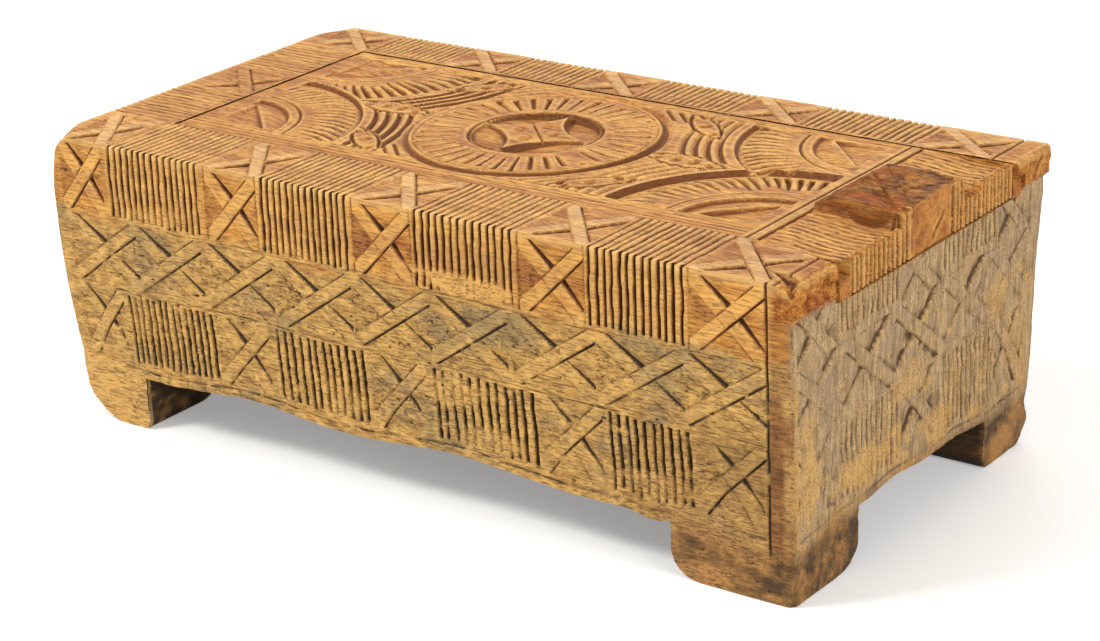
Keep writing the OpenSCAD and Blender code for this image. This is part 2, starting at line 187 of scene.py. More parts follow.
def on_straps(u, v, u_mid, v_mid, width, height, strap=4.0):
    """1 on the straps of a crossed square, and apart from that 1 in its rough left field."""
    du, dv, fall, rise = across_straps(u, v, u_mid, v_mid, width, height)
    inside = (np.abs(du) < width / 2) & (np.abs(dv) < height / 2)
    h = strap / 2
    bar = np.maximum(smooth(h, h - 0.5, np.abs(rise)), 0.7 * smooth(h, h - 0.5, np.abs(fall)))
    left = smooth(h, h + 0.8, -rise) * smooth(h, h + 0.8, -fall)
    return inside * bar, inside * left


# squares of the two bands along the block: first and last edge of each, from the left
UPPER_SQUARES = [(-118.5, -102.5), (-64.5, -46.5), (-13.5, 5.5), (39.5, 59.5), (90.0, 111.5)]
UPPER_COMBS = [(-100.8, -66.4, 15), (-45.4, -14.8, 14), (6.0, 38.4, 14), (60.0, 89.2, 13)]
LOWER_SQUARES = [(-117.5, -99.0), (-63.5, -45.0), (-9.8, 8.4), (44.0, 64.0), (91.5, 111.5)]
LOWER_COMBS = [(-98.0, -65.0, 14), (-43.6, -11.6, 12), (9.6, 43.4, 12), (64.8, 90.4, 10)]
LATTICE_MIDS = [-104.5, -80.4, -55.0, -27.8, -2.0, 22.6, 49.5, 75.6, 100.0]
LATTICE_REACH = 13.4
# the middle and the height of the squares of each band
UPPER_BAND = (72.0, 19.6)
LOWER_BAND = (30.8, 19.8)
LATTICE_BAND = (51.5, 19.4)
# the scored lines: above and below the lattice, above the feet, and upright at the right corner
UPPER_LINE = 61.4
LOWER_LINE = 41.3
FOOT_LINE = 20.0
CORNER_LINE = 111.6


def band_lines(u, z, u_from, u_to):
    """The scored lines between the three bands."""
    sway = 0.35 * np.sin(u * 0.09)
    worn = 0.35 + 0.65 * smooth(-0.3, 0.3, lumps(u, z, 16.0, 30.0, 15))
    cut = worn * deepest((furrow(z - UPPER_LINE - sway, 0.6, 0.4), furrow(z - LOWER_LINE - sway, 0.7, 0.5),
                          furrow(z - FOOT_LINE - 0.5 * sway, 0.8, 0.6)))
    return cut * smooth(u_from - 0.5, u_from + 0.5, u) * (1 - smooth(u_to - 0.5, u_to + 0.5, u))


def weather(u, z, side, amount=1.0):
    """Wear of the lower part of a wall: soft lumps and rough spots, in millimetres of depth."""
    low = smooth(66, 52, z)
    soft = 0.2 + 0.14 * lumps(u, z, 9.0, 5.0, side)
    worn = low * (0.16 * lumps(u, z, 11.0, 6.0, side + 3) + 0.12 * lumps(u, z, 2.2, 1.3, side + 4))
    chips = low * 0.55 * smooth(0.5, 0.8, lumps(u, z, 3.2, 1.6, side + 6))
    foot = smooth(21, 14, z) * (0.3 + 0.5 * lumps(u, z, 6.0, 5.0, side + 9))
    return amount * (soft + worn + chips + foot)


# where dust has caked, by side: middle along and up, width, height and how much
LONG_SIDES, RIGHT_END, LEFT_END = 11, 12, 13
CAKED = {
    LONG_SIDES: [(21, 65.5, 19, 4.5, 1.0), (16, 36, 11, 6, 0.8), (27, 24, 12, 4, 0.8),
                 (-84, 64.5, 12, 3.5, 0.6), (-90, 34, 9, 8, 0.5), (-20, 26, 9, 5, 0.5),
                 (80, 24, 14, 3.5, 0.7), (-34, 63.5, 9, 2.5, 0.5)],
    RIGHT_END: [(-29, 26, 13, 6, 0.9), (-56, 34, 5, 18, 0.7), (-6, 40, 14, 6, 0.5),
                (8, 24, 12, 4, 0.7), (40, 47, 8, 8, 0.6)],
    LEFT_END: [(20, 30, 16, 6, 0.8), (-30, 60, 12, 5, 0.6)],
}


def crust(u, z, side):
    """Where old dust and wax fill the cuts of a side, 0 to 1."""
    broken_up = lumps(u, z, 4.5, 3.6, side + 30)
    band = 0.35 * smooth(64, 50, z) + 0.2 * smooth(28, 21, z)
    fill = 0.75 * smooth(0.5, 0.95, broken_up * 0.8 + band)
    for at_u, at_z, wide, high, amount in CAKED[side]:
        near = np.exp(-((u - at_u) / wide) ** 2 - ((z - at_z) / high) ** 2)
        fill = np.maximum(fill, amount * smooth(0.25, 0.75, near + 0.45 * broken_up))
    return fill * smooth(70, 67, z)


def front_cut(x, z):
    """Depth of the carving on the front side."""
    lattice = lattice_cut(x, z, LATTICE_MIDS, LATTICE_BAND[0], 2 * LATTICE_REACH + 1.6, LATTICE_BAND[1],
                          LATTICE_REACH - 0.7, 80, depth=0.9, slit=1.8, late=0.8)
    corner = furrow(x - CORNER_LINE - 0.012 * (83 - z), 1.0, 0.85) * smooth(14.5, 17.5, z)
    borders = deepest(furrow(x - at, 0.7, 0.6) for square in UPPER_SQUARES[1:] for at in square)
    cut = deepest((squares_cut(x, z, UPPER_SQUARES, *UPPER_BAND, 40),
                   combs_cut(x, z, UPPER_COMBS, 62.4, 84.0, 1.02, 1.6, 0.0, 60),
                   squares_cut(x, z, LOWER_SQUARES, *LOWER_BAND, 50, slit=1.5),
                   combs_cut(x, z, LOWER_COMBS, 21.5, 40.6, 1.25, 1.6, 0.07, 70),
                   lattice * (x < CORNER_LINE), corner, 0.7 * borders * smooth(61.5, 62.5, z),
                   band_lines(x, z, -119.0, CORNER_LINE)))
    fill = 0.85 * crust(x, z, LONG_SIDES)
    faint = 1 - 0.3 * smooth(62, 40, z) * smooth(0.0, 0.6, lumps(x, z, 8.0, 8.0, 19))
    lumpy = fill * (0.1 + 0.22 * lumps(x, z, 1.5, 1.1, 18))
    return cut * (1 - fill) * faint + weather(x, z, LONG_SIDES) - lumpy


def square_parts(u, v, squares, v_mid, height):
    """The straps and the rough left fields of a row of crossed squares, 0 to 1."""
    parts = [on_straps(u, v, (a + b) / 2, v_mid, b - a, height) for a, b in squares]
    return deepest(straps for straps, _ in parts), deepest(rough for _, rough in parts)


def front_parts(x, z):
    """The straps and the rough fields of the front side."""
    lattice = [(mid - 13.2, mid + 13.2) for mid in LATTICE_MIDS]
    rows = [square_parts(x, z, squares, *band) for squares, band in (
        (UPPER_SQUARES, UPPER_BAND), (LOWER_SQUARES, LOWER_BAND), (lattice, LATTICE_BAND))]
    return deepest(straps for straps, _ in rows), deepest(rough for _, rough in rows)


# the rails' squares, drawn with y turned round; the front rail repeats those of the front side
BACK_SQUARES = [(-117.5, -98.0), (-67.5, -49.5), (-20.5, -1.5), (32.5, 52.5), (90.5, 112.0)]
FRONT_RAIL_BAND = (-(FRONT + RAIL_IN_FRONT) / 2, 24.0)
BACK_RAIL_BAND = (-(BACK + RAIL_IN_BACK) / 2, 18.5)


def top_parts(x, y):
    """The straps and the rough fields of the two rails."""
    straps, rough = square_parts(x, -y, UPPER_SQUARES, *FRONT_RAIL_BAND)
    far_straps, far_rough = square_parts(x, -y, BACK_SQUARES, *BACK_RAIL_BAND)
    return np.maximum(straps, far_straps), 0.6 * np.maximum(rough, far_rough)


def plain_cut(u, v):
    """A face or edge that is only worn."""
    return 0.18 * lumps(u, v, 9.0, 6.0, 5) + 0.1 * lumps(u, v, 2.5, 2.0, 6)


def no_cut(u, v):
    """A face that keeps its level."""
    return np.zeros(np.shape(u))


# the cuts of the other sides are worked out in their own sections
SIDE_CUTS = {"front": front_cut, "back": plain_cut, "left": plain_cut, "right": plain_cut, "top": no_cut}
# the axis each side stands square to, the way into the wood, and where it stands
SIDES = {"front": (Y, 1, FRONT), "back": (Y, -1, BACK), "left": (X, 1, LEFT), "right": (X, -1, RIGHT),
         "top": (Z, -1, TOP)}
EDGE = 2.6  # the carving of a side fades out this far into the wood


def side_depths(points):
    """How far each point of the straight block lies from each side."""
    return {side: way * (points[..., axis] - at) for side, (axis, way, at) in SIDES.items()}


def carve(points):
    """Moves the points of the straight block in by the carving, and returns the depth."""
    moved = points.copy()
    depth = np.zeros(points.shape[:-1])
    for side, away in side_depths(points).items():
        near = away < EDGE
        if not np.any(near):
            continue
        axis, way, _ = SIDES[side]
        u, v = [points[..., k][near] for k in (X, Y, Z) if k != axis]
        cut = np.zeros(depth.shape)
        cut[near] = (1 - smooth(0.0, EDGE, away[near])) * np.maximum(SIDE_CUTS[side](u, v), 0.0)
        moved[..., axis] += way * cut
        depth = np.maximum(depth, cut)
    return moved, depth


def round_corner(points, a, a_at, a_way, b, b_at, b_way, radius, where):
    """Rounds the corner between planes square to axes a and b; the ways point out of the wood."""
    pa = (points[..., a] - a_at) * a_way
    pb = (points[..., b] - b_at) * b_way
    p = 1 + pa / radius
    q = 1 + pb / radius
    inside = (p > 0) & (q > 0) & where
    scale = np.maximum(p, q) / np.maximum(np.hypot(p, q), 1e-9)
    moved = points.copy()
    moved[..., a] = np.where(inside, a_at + a_way * (p * scale - 1) * radius, points[..., a])
    moved[..., b] = np.where(inside, b_at + b_way * (q * scale - 1) * radius, points[..., b])
    return moved


# the feet's inner faces, the rounding of the right and front ones, and how far the right
# end wall stands behind the ends of the rails
FOOT_RIGHT_IN = 83.5
FOOT_LEFT_IN = -93.0
FOOT_FRONT_IN = -33.0
FOOT_BACK_IN = 33.0
FOOT_ROUND = 8.0
END_STEP = 3.0


def stepped_back(x, z):
    """How far the right end wall stands back, below the band that the rail ends make."""
    return END_STEP * smooth(75.4, 74.0, z) * smooth(RIGHT - 10, RIGHT - 2, x)


def broken_rail_end(points):
    """Takes the snapped ends of the rails back, and the front one's lip and outer corner away."""
    x, y, z = points[..., 0], points[..., 1], points[..., 2]
    band = smooth(73.5, 75.8, z)
    ragged = 0.8 * lumps(y, z, 3.0, 4.0, 71) + 0.35 * lumps(y, z, 1.0, 1.6, 72)
    front_rail = smooth(-36.0, -41.0, y)
    back = 1.2 + 0.5 * ragged + front_rail * (2.1 + ragged) + front_rail * smooth(-57.5, -60.0, y) * 2.0
    x = x - back * band * smooth(RIGHT - 9.0, RIGHT, x)
    lip = smooth(-50.0, RAIL_IN_FRONT, y) * smooth(GROOVE_ROOF - 0.3, GROOVE_ROOF, z)
    lip = lip * (y < RAIL_IN_FRONT + 0.1)
    y = y - lip * (4.6 * smooth(101.0, 119.0, x) + 0.25 * lumps(x, z, 2.0, 9.0, 73) * smooth(99, 103, x))
    fallen = smooth(113.5, 119.0, x) * smooth(-57.6, -60.2, y + 0.34 * (x - 116.0))
    fallen = fallen * (2.4 + 1.4 * smooth(116, 120, x))
    z = z - fallen * smooth(TOP - 12.0, TOP, z) * (1 + 0.25 * lumps(x, y, 2.0, 2.0, 74))
    return np.stack([x, y, z], axis=-1)


def settle(points):
    """Gives the straight block its real outline: round corners, leaning sides, a stepped end."""
    x, y, z = points[..., 0], points[..., 1], points[..., 2]
    feet = z < WALL_FOOT + 0.01
    worn_tip = 0.7 + 7.3 * smooth(FRONT + 14, FRONT, y) + 6.0 * smooth(BACK - 12, BACK, y)
    high = z > 60
    p = points
    for a, a_at, a_way, b, b_at, b_way, radius, where in (
            (X, FOOT_RIGHT_IN, -1, Z, 0, -1, FOOT_ROUND, feet & (x > 0)),
            (X, FOOT_LEFT_IN, 1, Z, 0, -1, 2.5, feet & (x < 0)),
            (Y, FOOT_FRONT_IN, 1, Z, 0, -1, FOOT_ROUND, feet & (y < 0)),
            (Y, FOOT_BACK_IN, -1, Z, 0, -1, 2.5, feet & (y > 0)),
            (X, RIGHT, 1, Z, 0, -1, 1.2, feet),
            (X, LEFT, -1, Z, 0, -1, 16.0, feet),
            (Y, FRONT, -1, Z, 0, -1, 1.0, feet),
            (Y, BACK, 1, Z, 0, -1, 8.0, feet),
            (X, LEFT, -1, Z, TOP, 1, worn_tip, high),
            (X, LEFT, -1, Y, FRONT, -1, 1.6 + 3.4 * smooth(TOP - 16, TOP, z), True),
            (X, LEFT, -1, Y, BACK, 1, 4.0, True),
            (X, RIGHT, 1, Y, FRONT, -1, 2.0 + 1.2 * lumps(z, 0 * z, 9.0, 9.0, 75), True),
            (X, RIGHT, 1, Y, BACK, 1, 0.8, True),
            (Y, FRONT, -1, Z, TOP, 1, 0.6 + 5.0 * smooth(LEFT + 9, LEFT, x), high),
            (Y, BACK, 1, Z, TOP, 1, 0.3, high)):
        p = round_corner(p, a, a_at, a_way, b, b_at, b_way, radius, where)
    x, y, z = p[..., 0], p[..., 1], p[..., 2]
    lean = 5.5 * np.clip((TOP - z) / 63.0, 0, 1) ** 3
    x = x + lean * (1 - smooth(LEFT + 3, LEFT + 34, x))
    back_lean = 6.5 * np.clip((TOP - z) / 63.0, 0, 1) ** 1.4 + 0.5 * np.sin(z * 0.16) - 0.33
    y = y - np.clip(back_lean, 0, 9) * smooth(BACK - 34, BACK - 3, y)
    x = x - stepped_back(x, z)
    ripple = 0.9 * np.sin(x * 0.09) + 0.7 * np.sin(x * 0.031 + 1) + 0.8 * np.sin(y * 0.12)
    ripple = ripple - 0.5 * smooth(40, 84, x)
    ripple = ripple - 1.1 * smooth(-60, -20, x) - 1.8 * np.exp(-((x - 79) / 6.0) ** 2)
    ripple = ripple + 2.6 * smooth(98, 116, x) * np.exp(-((y + 14) / 13.0) ** 2)
    z = z + ripple * (1 - smooth(0.5, 9.0, np.abs(z - WALL_FOOT)))
    return broken_rail_end(np.stack([x, y, z], axis=-1))


def between(start, end, step):
    """Evenly spaced values, about step apart."""
    return np.linspace(start, end, max(2, int(round(abs(end - start) / step)) + 1))


def sheet(axis, at, u_values, v_values):
    """A flat grid square to an axis, from values or (start, end, step) along the other two."""
    u, v = (between(*w) if isinstance(w, tuple) else w for w in (u_values, v_values))
    return np.insert(np.stack(np.meshgrid(u, v, indexing="ij"), -1), axis, at, axis=-1)


def skin(name, grids, finish):
    """One mesh from grids of points. Each grid is (points, flip, marks)."""
    points, quads, marks = [], [], {}
    start = 0
    names = sorted({key for _, _, own in grids for key in own})
    for grid, flip, own in grids:
        n, m = grid.shape[:2]
        index = start + np.arange(n * m).reshape(n, m)
        quad = np.stack([index[:-1, :-1], index[1:, :-1], index[1:, 1:], index[:-1, 1:]], -1).reshape(-1, 4)
        quads.append(quad[:, ::-1] if flip else quad)
        points.append(grid.reshape(-1, 3))
        for key in names:
            value = own.get(key, 0.0)
            marks.setdefault(key, []).append(np.broadcast_to(value, (n, m)).reshape(-1))
        start += n * m
    points = np.concatenate(points) * MM
    quads = np.concatenate(quads)
    mesh = bpy.data.meshes.new(name)
    mesh.vertices.add(len(points))
    mesh.vertices.foreach_set("co", points.astype(np.float32).ravel())
    mesh.loops.add(quads.size)
    mesh.loops.foreach_set("vertex_index", quads.ravel().astype(np.int32))
    mesh.polygons.add(len(quads))
    mesh.polygons.foreach_set("loop_start", np.arange(0, quads.size, 4, dtype=np.int32))
    mesh.polygons.foreach_set("use_smooth", np.ones(len(quads), dtype=bool))
    for key, value in marks.items():
        layer = mesh.attributes.new(key, "FLOAT", "POINT")
        layer.data.foreach_set("value", np.concatenate(value).astype(np.float32))
    mesh.update(calc_edges=True)
    mesh.validate()
    piece = bpy.data.objects.new(name, mesh)
    bpy.context.scene.collection.objects.link(piece)
    piece.data.materials.append(finish)
    return piece


def spread(values, reach_u, reach_v):
    """The mean of a grid's values over the cells near each one."""
    for axis, reach in ((0, reach_u), (1, reach_v)):
        reach = int(min(reach, values.shape[axis] // 2 - 1))
        if reach < 1:
            continue
        pad = [(reach + 1, reach) if k == axis else (0, 0) for k in range(2)]
        total = np.cumsum(np.pad(values, pad, mode="edge"), axis=axis)
        span = 2 * reach + 1
        size = total.shape[axis]
        values = (np.take(total, range(span, size), axis) - np.take(total, range(size - span), axis)) / span
    return values


def relief_marks(depth, step_u, step_v, reach=1.7, walls=0.3, full=0.75):
    """How far each point lies in a cut or on its walls (dirt and painted shade) or on a ridge (rubbed bare
    and painted highlight).
    """
    level = spread(depth, reach / step_u, reach / step_v)
    along_u, along_v = np.gradient(depth)
    steep = np.maximum(np.abs(along_u) / step_u, np.abs(along_v) / step_v)
    # painted shade: the deeper and the steeper a point, the darker its cut mark
    recessed = np.clip((depth - level) / full, 0, 1) * 0.75 + np.clip(depth / 2.2, 0, 1) * 0.4
    return {"cut": np.maximum(recessed, walls * smooth(0.6, 2.2, steep)),
            "ridge": np.clip((level - depth) / 0.55, 0, 1)}


def rail_break(x, y, z):
    """Where the ends of the rails are broken off, 0 to 1; the front rail has lost most."""
    outer_corner = smooth(113.5, 115.0, x) * smooth(-57.2, -58.4, y + 0.34 * (x - 116.0))
    ragged_end = smooth(119.0, 121.0, x + 0.8 * lumps(x, y, 2.0, 2.0, 360))
    front_end = np.maximum(outer_corner, ragged_end) * (y < 0)
    return np.maximum(front_end, smooth(121.0, 122.0, x)) * smooth(73.2, 75.2, z)


def block_marks(rest, depth, steps, underside_shade=0.0):
    """Marks for the finish: dirty cuts with painted shade, painted shade under the block, painted highlights
    and a painted sheen on top, weathered and crusted areas, the bare break.
    """
    x, y, z = rest[..., 0], rest[..., 1], rest[..., 2]
    away = side_depths(rest)
    on_long = np.minimum(away["front"], away["back"]) < 1.5
    on_end = smooth(EDGE, 0.2, away["right"]) * smooth(75.2, 73.8, z)
    edge = np.minimum(np.minimum(away["front"], away["back"]), np.minimum(away["left"], away["right"]))
    around = lumps(np.where(on_long, x, y), z, 12.0, 6.0, 21)
    chipped = smooth(4.6, 2.2, away["front"] + away["right"]) * smooth(75, 70, z)
    chipped = chipped * smooth(-0.5, 0.2, lumps(z, y, 7.0, 9.0, 23))
    end_dust = np.where(away["right"] < 2, crust(y, z, RIGHT_END), crust(y, z, LEFT_END))
    dust = np.where(on_long, crust(x, z, LONG_SIDES), end_dust) * smooth(70, 66, z)
    left_foot = smooth(26, 17, z + 3 * around) * smooth(-84, -98, x) * smooth(1.0, 0.0, underside_shade)
    strap = np.zeros(x.shape)
    porous = np.zeros(x.shape)
    for side, u, v, parts in (("front", x, z, front_parts), ("top", x, y, top_parts)):
        near = away[side] < 1.5
        if np.any(near):
            strap[near], porous[near] = parts(u[near], v[near])
    corner = smooth(CORNER_LINE, CORNER_LINE + 1.5, x) * smooth(1.5, 0.0, away["front"]) * smooth(10, 20, z)
    foot = smooth(22.0, 14.0, z + 2.5 * around)
    marks = relief_marks(depth, *steps)
    # painted shade: under the block, the faces darken away from its outer edges
    marks["cut"] = np.maximum(marks["cut"], underside_shade * smooth(0.0, 3.0, edge))
    marks["dust"] = deepest((dust, 0.95 * chipped, left_foot))
    marks["aged"] = smooth(66, 59, z + 3.5 * around) * (1 - on_end)
    marks["ashen"] = on_end
    marks["strap"] = strap
    marks["porous"] = porous * smooth(0.0, 0.5, lumps(x, z + y, 20.0, 20.0, 24) + 0.3)
    # painted highlight along the top arrises, where the wood is also worn
    marks["rubbed"] = smooth(3.0, 0.3, np.maximum(away["top"], 0)) * smooth(3.0, 0.3, edge)
    marks["redden"] = corner * (0.35 + 0.65 * smooth(64, 44, z)) * (1 - 0.9 * chipped)
    # painted sheen: the top face, and its straps most, paler
    marks["bleached"] = smooth(1.6, 0.6, away["top"]) * (0.45 + 0.55 * strap) * smooth(116, 110, x)
    marks["footed"] = smooth(60, 90, x) * np.maximum(foot, 0.4 * smooth(50, 38, z + 3.0 * around) * on_long)
    marks["broken"] = rail_break(x, y, z)
    return marks


def feed(socket, value):
    """Gives a socket a link from a wire, or a plain value."""
    if isinstance(value, Wire):
        value.tree.links.new(value.socket, socket)
    else:
        socket.default_value = value


class Wire:
    """A socket of a finish; arithmetic on it adds Math nodes."""

    def __init__(self, tree, socket):
        self.tree = tree
        self.socket = socket

    def _math(self, operation, *values):
        node = self.tree.nodes.new("ShaderNodeMath")
        node.operation = operation
        for slot, value in zip(node.inputs, values):
            feed(slot, value)
        return Wire(self.tree, node.outputs[0])

    def __add__(self, other):
        return self._math("ADD", self, other)

    def __radd__(self, other):
        return self._math("ADD", other, self)

    def __sub__(self, other):
        return self._math("SUBTRACT", self, other)

    def __rsub__(self, other):
        return self._math("SUBTRACT", other, self)

    def __mul__(self, other):
        return self._math("MULTIPLY", self, other)

    def __rmul__(self, other):
        return self._math("MULTIPLY", other, self)

    def most(self, other):
        """The larger of two values."""
        return self._math("MAXIMUM", self, other)

    def held(self):
        """The value kept between 0 and 1."""
        return self._math("MINIMUM", self._math("MAXIMUM", self, 0.0), 1.0)


class Finish:
    """A material or a sky under construction."""

    def __init__(self, owner):
        self.owner = owner
        owner.use_nodes = True
        self.tree = owner.node_tree
        self.tree.nodes.clear()

    def node(self, kind, settings=None, out=0, slots=None, **values):
        """Adds a node: its settings first, then its sockets, by number or by name."""
        made = self.tree.nodes.new(kind)
        for key, value in (settings or {}).items():
            if key == "stops":
                ramp = made.color_ramp
                while len(ramp.elements) > 1:
                    ramp.elements.remove(ramp.elements[-1])
                ramp.elements[0].position, ramp.elements[0].color = value[0]
                for position, color in value[1:]:
                    ramp.elements.new(position).color = color
            else:
                setattr(made, key, value)
        for number, value in (slots or {}).items():
            feed(made.inputs[number], value)
        for key, value in values.items():
            wanted = key.replace("_", " ").lower()
            feed(next(s for s in made.inputs if s.enabled and s.name.lower() == wanted), value)
        return Wire(self.tree, made.outputs[out]) if made.outputs else None

    def mark(self, name):
        """One of the marks that the piece's points carry."""
        return self.node("ShaderNodeAttribute", {"attribute_name": name}, out=2)

    def blend(self, factor, first, second):
        """Colour first turning into second by factor."""
        return self.node("ShaderNodeMix", {"data_type": "RGBA", "clamp_factor": True}, 2,
                         {0: factor, 6: first, 7: second})

    def noise(self, stretch, detail=3.0, rough=0.55, shift=0.0):
        """Noise in the piece's own place; stretch is how many lumps a metre along X, Y and Z."""
        where = self.node("ShaderNodeTexCoord", out=3)
        scaled = self.node("ShaderNodeMapping", Vector=where, Scale=stretch, Location=(shift, shift, shift))
        return self.node("ShaderNodeTexNoise", Vector=scaled, Scale=1.0, Detail=detail, Roughness=rough)

    def close(self, shader, kind="ShaderNodeOutputMaterial"):
        """Ends the tree with a shader."""
        self.node(kind, slots={0: shader})
        return self.owner


def tint(red, green, blue):
    """A colour as it is seen on a screen, turned into a light value."""
    light = [((c / 255 + 0.055) / 1.055) ** 2.4 if c > 10 else c / 3294.6 for c in (red, green, blue)]
    return (*light, 1.0)


def wood(name, pale, deep, roughness=0.56, grime_and_shade_tint=tint(84, 40, 12), gain=2.3):
    """Old oiled hardwood: grain along X, dark pores, dirty cuts darkened further with painted shade, a worn,
    waxed and dusty skin with painted highlights.
    """
    f = Finish(bpy.data.materials.new(name))
    streak = f.noise((60, 1300, 1300), 4.0, 0.66)
    figure = f.noise((9, 150, 150), 3.0, 0.5, 4.0)
    pores = f.noise((260, 2600, 2600), 2.0, 0.5, 9.0)
    pits = f.noise((760, 1300, 1300), 2.0, 0.6, 17.0)
    mottle = f.noise((230, 330, 330), 4.0, 0.72, 21.0)
    cloud = f.noise((46, 70, 70), 3.0, 0.6, 13.0)
    upright = f.noise((420, 900, 85), 4.0, 0.66, 31.0)
    cut, ridge, aged, ashen, dust, strap, porous, broken, handled, footed = [f.mark(name) for name in (
        "cut", "ridge", "aged", "ashen", "dust", "strap", "porous", "broken", "handled", "footed")]
    weathered = (aged + ashen).held()

    # sound wood, then the khaki of the lower sides and the grey of the right end
    tone = (streak * 1.9 - 0.62 + (figure - 0.5) * 1.6 + (mottle - 0.5) * 1.1 + strap * 0.2).held()
    colour = f.blend(tone, deep, pale)
    khaki = ((mottle - 0.5) * 2.0 + 0.5 + (streak - 0.5) * 0.8 + strap * 0.08).held()
    khaki = f.blend(khaki, tint(136, 90, 38), tint(238, 190, 106))
    drab = f.blend(mottle, tint(104, 84, 54), tint(176, 150, 102))
    khaki = f.blend(((cloud - 0.53) * 7.0).held() * 0.7, khaki, drab)
    colour = f.blend((aged * 1.15 + (cloud - 0.5) * 1.2 * (aged * 2.0).held()).held(), colour, khaki)
    ash = ((upright - 0.5) * 2.2 + 0.5 + (mottle - 0.5) * 0.9).held()
    ash = f.blend(ash, tint(126, 96, 62), tint(228, 194, 148))
    ash = f.blend(((0.5 - cloud) * 5.0).held() * 0.5, ash, tint(160, 138, 112))
    ash = f.blend(((cloud - 0.54) * 8.0).held() * 0.45, ash, tint(218, 172, 104))
    colour = f.blend(ashen, colour, ash)

    # caked dust and paler weathered ridges (dust and painted highlight), a painted sheen on the top, the red
    # right corner, dark feet and rough fields
    ochre = (dust * 0.95 + ridge * weathered * 0.6 + ((mottle - 0.56) * 6.0).held() * weathered * 0.3).held()
    colour = f.blend((ochre * 0.8).held(), colour, f.blend(mottle, tint(192, 128, 52), tint(255, 212, 126)))
    # painted sheen of the top: a paler, less red colour
    bleached = f.blend(tone, tint(164, 108, 56), tint(226, 178, 122))
    colour = f.blend(f.mark("bleached") * 0.75, colour, bleached)
    reddened = f.blend(tone, tint(92, 42, 12), tint(176, 104, 42))
    colour = f.blend((f.mark("redden") * 0.85).held(), colour, reddened)
    foot = ((cloud - 0.44) * 5.0 + (mottle - 0.5) * 1.8).held()
    colour = f.blend(footed * 0.9, colour, f.blend(foot, tint(64, 42, 26), tint(190, 136, 72)))
    rough_field = f.blend(mottle, tint(110, 56, 18), tint(204, 138, 68))
    colour = f.blend((porous * (1.0 - weathered) * 0.75).held(), colour, rough_field)

    # fresh breaks and the wood that hands have darkened
    fresh = f.blend(((mottle - 0.36) * 2.3).held(), tint(140, 62, 12), tint(248, 176, 80))
    colour = f.blend(broken, colour, fresh)
    worn_dark = ((mottle - 0.38) * 2.8 + (streak - 0.5) * 1.2).held()
    worn_dark = f.blend(worn_dark, tint(78, 40, 12), tint(204, 138, 62))
    worn_dark = f.blend(((cloud - 0.5) * 6.0).held() * 0.75, worn_dark, tint(166, 80, 20))
    colour = f.blend(handled, colour, worn_dark)

    # pores and pits, grime and painted shade in the cuts, rubbed straps and ridges with painted highlights
    black, clear = (0, 0, 0, 1), (1, 1, 1, 1)
    dark = f.node("ShaderNodeValToRGB", {"stops": [(0.37, clear), (0.45, black)]}, Fac=pores)
    hole = f.node("ShaderNodeValToRGB", {"stops": [(0.36, clear), (0.42, black)]}, Fac=pits)
    pitted = aged * (1.0 - strap) * ((cloud - 0.45) * 5.0).held() * 0.5
    holes = hole * (porous + pitted + ashen * 0.12 + 0.05).held()
    hollow = f.blend(weathered, tint(96, 44, 10), tint(88, 58, 28))
    colour = f.blend((dark * 0.6 + holes * 0.85).held(), colour, hollow)
    # grime and painted shade: the cut mark darkens cuts, hidden faces and the underside
    grime_and_shade = ((cut - 0.2) * gain).held() * (1.0 - (dust * 0.8).held())
    grime_and_shade_colour = f.blend((weathered * 1.2).held(), grime_and_shade_tint, f.blend(ashen, tint(58, 42, 24), tint(92, 68, 42)))
    colour = f.blend((grime_and_shade * (1.0 - broken * 0.6) * 0.97).held(), colour, grime_and_shade_colour)
    # painted highlight on the top arrises, the ridges and the straps, which are also rubbed
    rubbed = f.mark("rubbed") * 0.4 + ridge * 0.4 * (1.0 - weathered) + strap * (1.0 - aged * 0.7) * 0.16
    rubbed = rubbed * (1.0 - grime_and_shade)
    colour = f.blend((rubbed * (1.0 - handled)).held(), colour, tint(246, 200, 122))

    relief = aged * 0.7 + ashen * 0.5 + dust * 1.3 + broken * 2.4 + handled * 1.2 + porous * 0.8 + 0.2
    height = (streak * 0.35 + (1.0 - dark) * 0.3 + (1.0 - holes) * 0.8 + upright * ashen * 1.6
              + mottle * relief)
    bump = f.node("ShaderNodeBump", Height=height, Strength=0.9, Distance=0.0006)
    shine = (roughness + ashen * 0.15 + handled * 0.2 + broken * 0.25 - strap * 0.08 - rubbed * 0.1
             - ((cloud - 0.5) * 3.0).held() * aged * 0.35 + (mottle - 0.5) * 0.4).held()
    shader = f.node("ShaderNodeBsdfPrincipled", Base_Color=colour, Roughness=shine, Normal=bump,
                    Specular_IOR_Level=0.3)
    return f.close(shader)


block_finish = wood("carved_block_wood", tint(240, 176, 82), tint(160, 92, 30))


def carved(grid, underside_shade=0.0):
    """A grid of the straight block, carved and settled, with its marks."""
    moved, depth = carve(grid)
    steps = [max(float(np.linalg.norm(grid[a] - grid[0, 0])), 0.1) for a in ((1, 0), (0, 1))]
    return settle(moved), block_marks(grid, depth, steps, underside_shade)


def outer(name, ready):
    """Makes a piece of the block from carved grids and puts it in the frame."""
    piece = skin(name, ready, block_finish)
    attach(piece, "block")
    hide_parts("box_body")
    return piece


def carved_grids(grids, underside_shade=0.0):
    """Carves a list of (grid, flip)."""
    ready = []
    for grid, flip in grids:
        points, marks = carved(grid, underside_shade)
        ready.append((points, flip, marks))
    return ready


def strip_of(whole, start, end):
    """Some of the rows of a carved grid."""
    points, marks = whole
    return points[:, start:end], False, {key: value[:, start:end] for key, value in marks.items()}


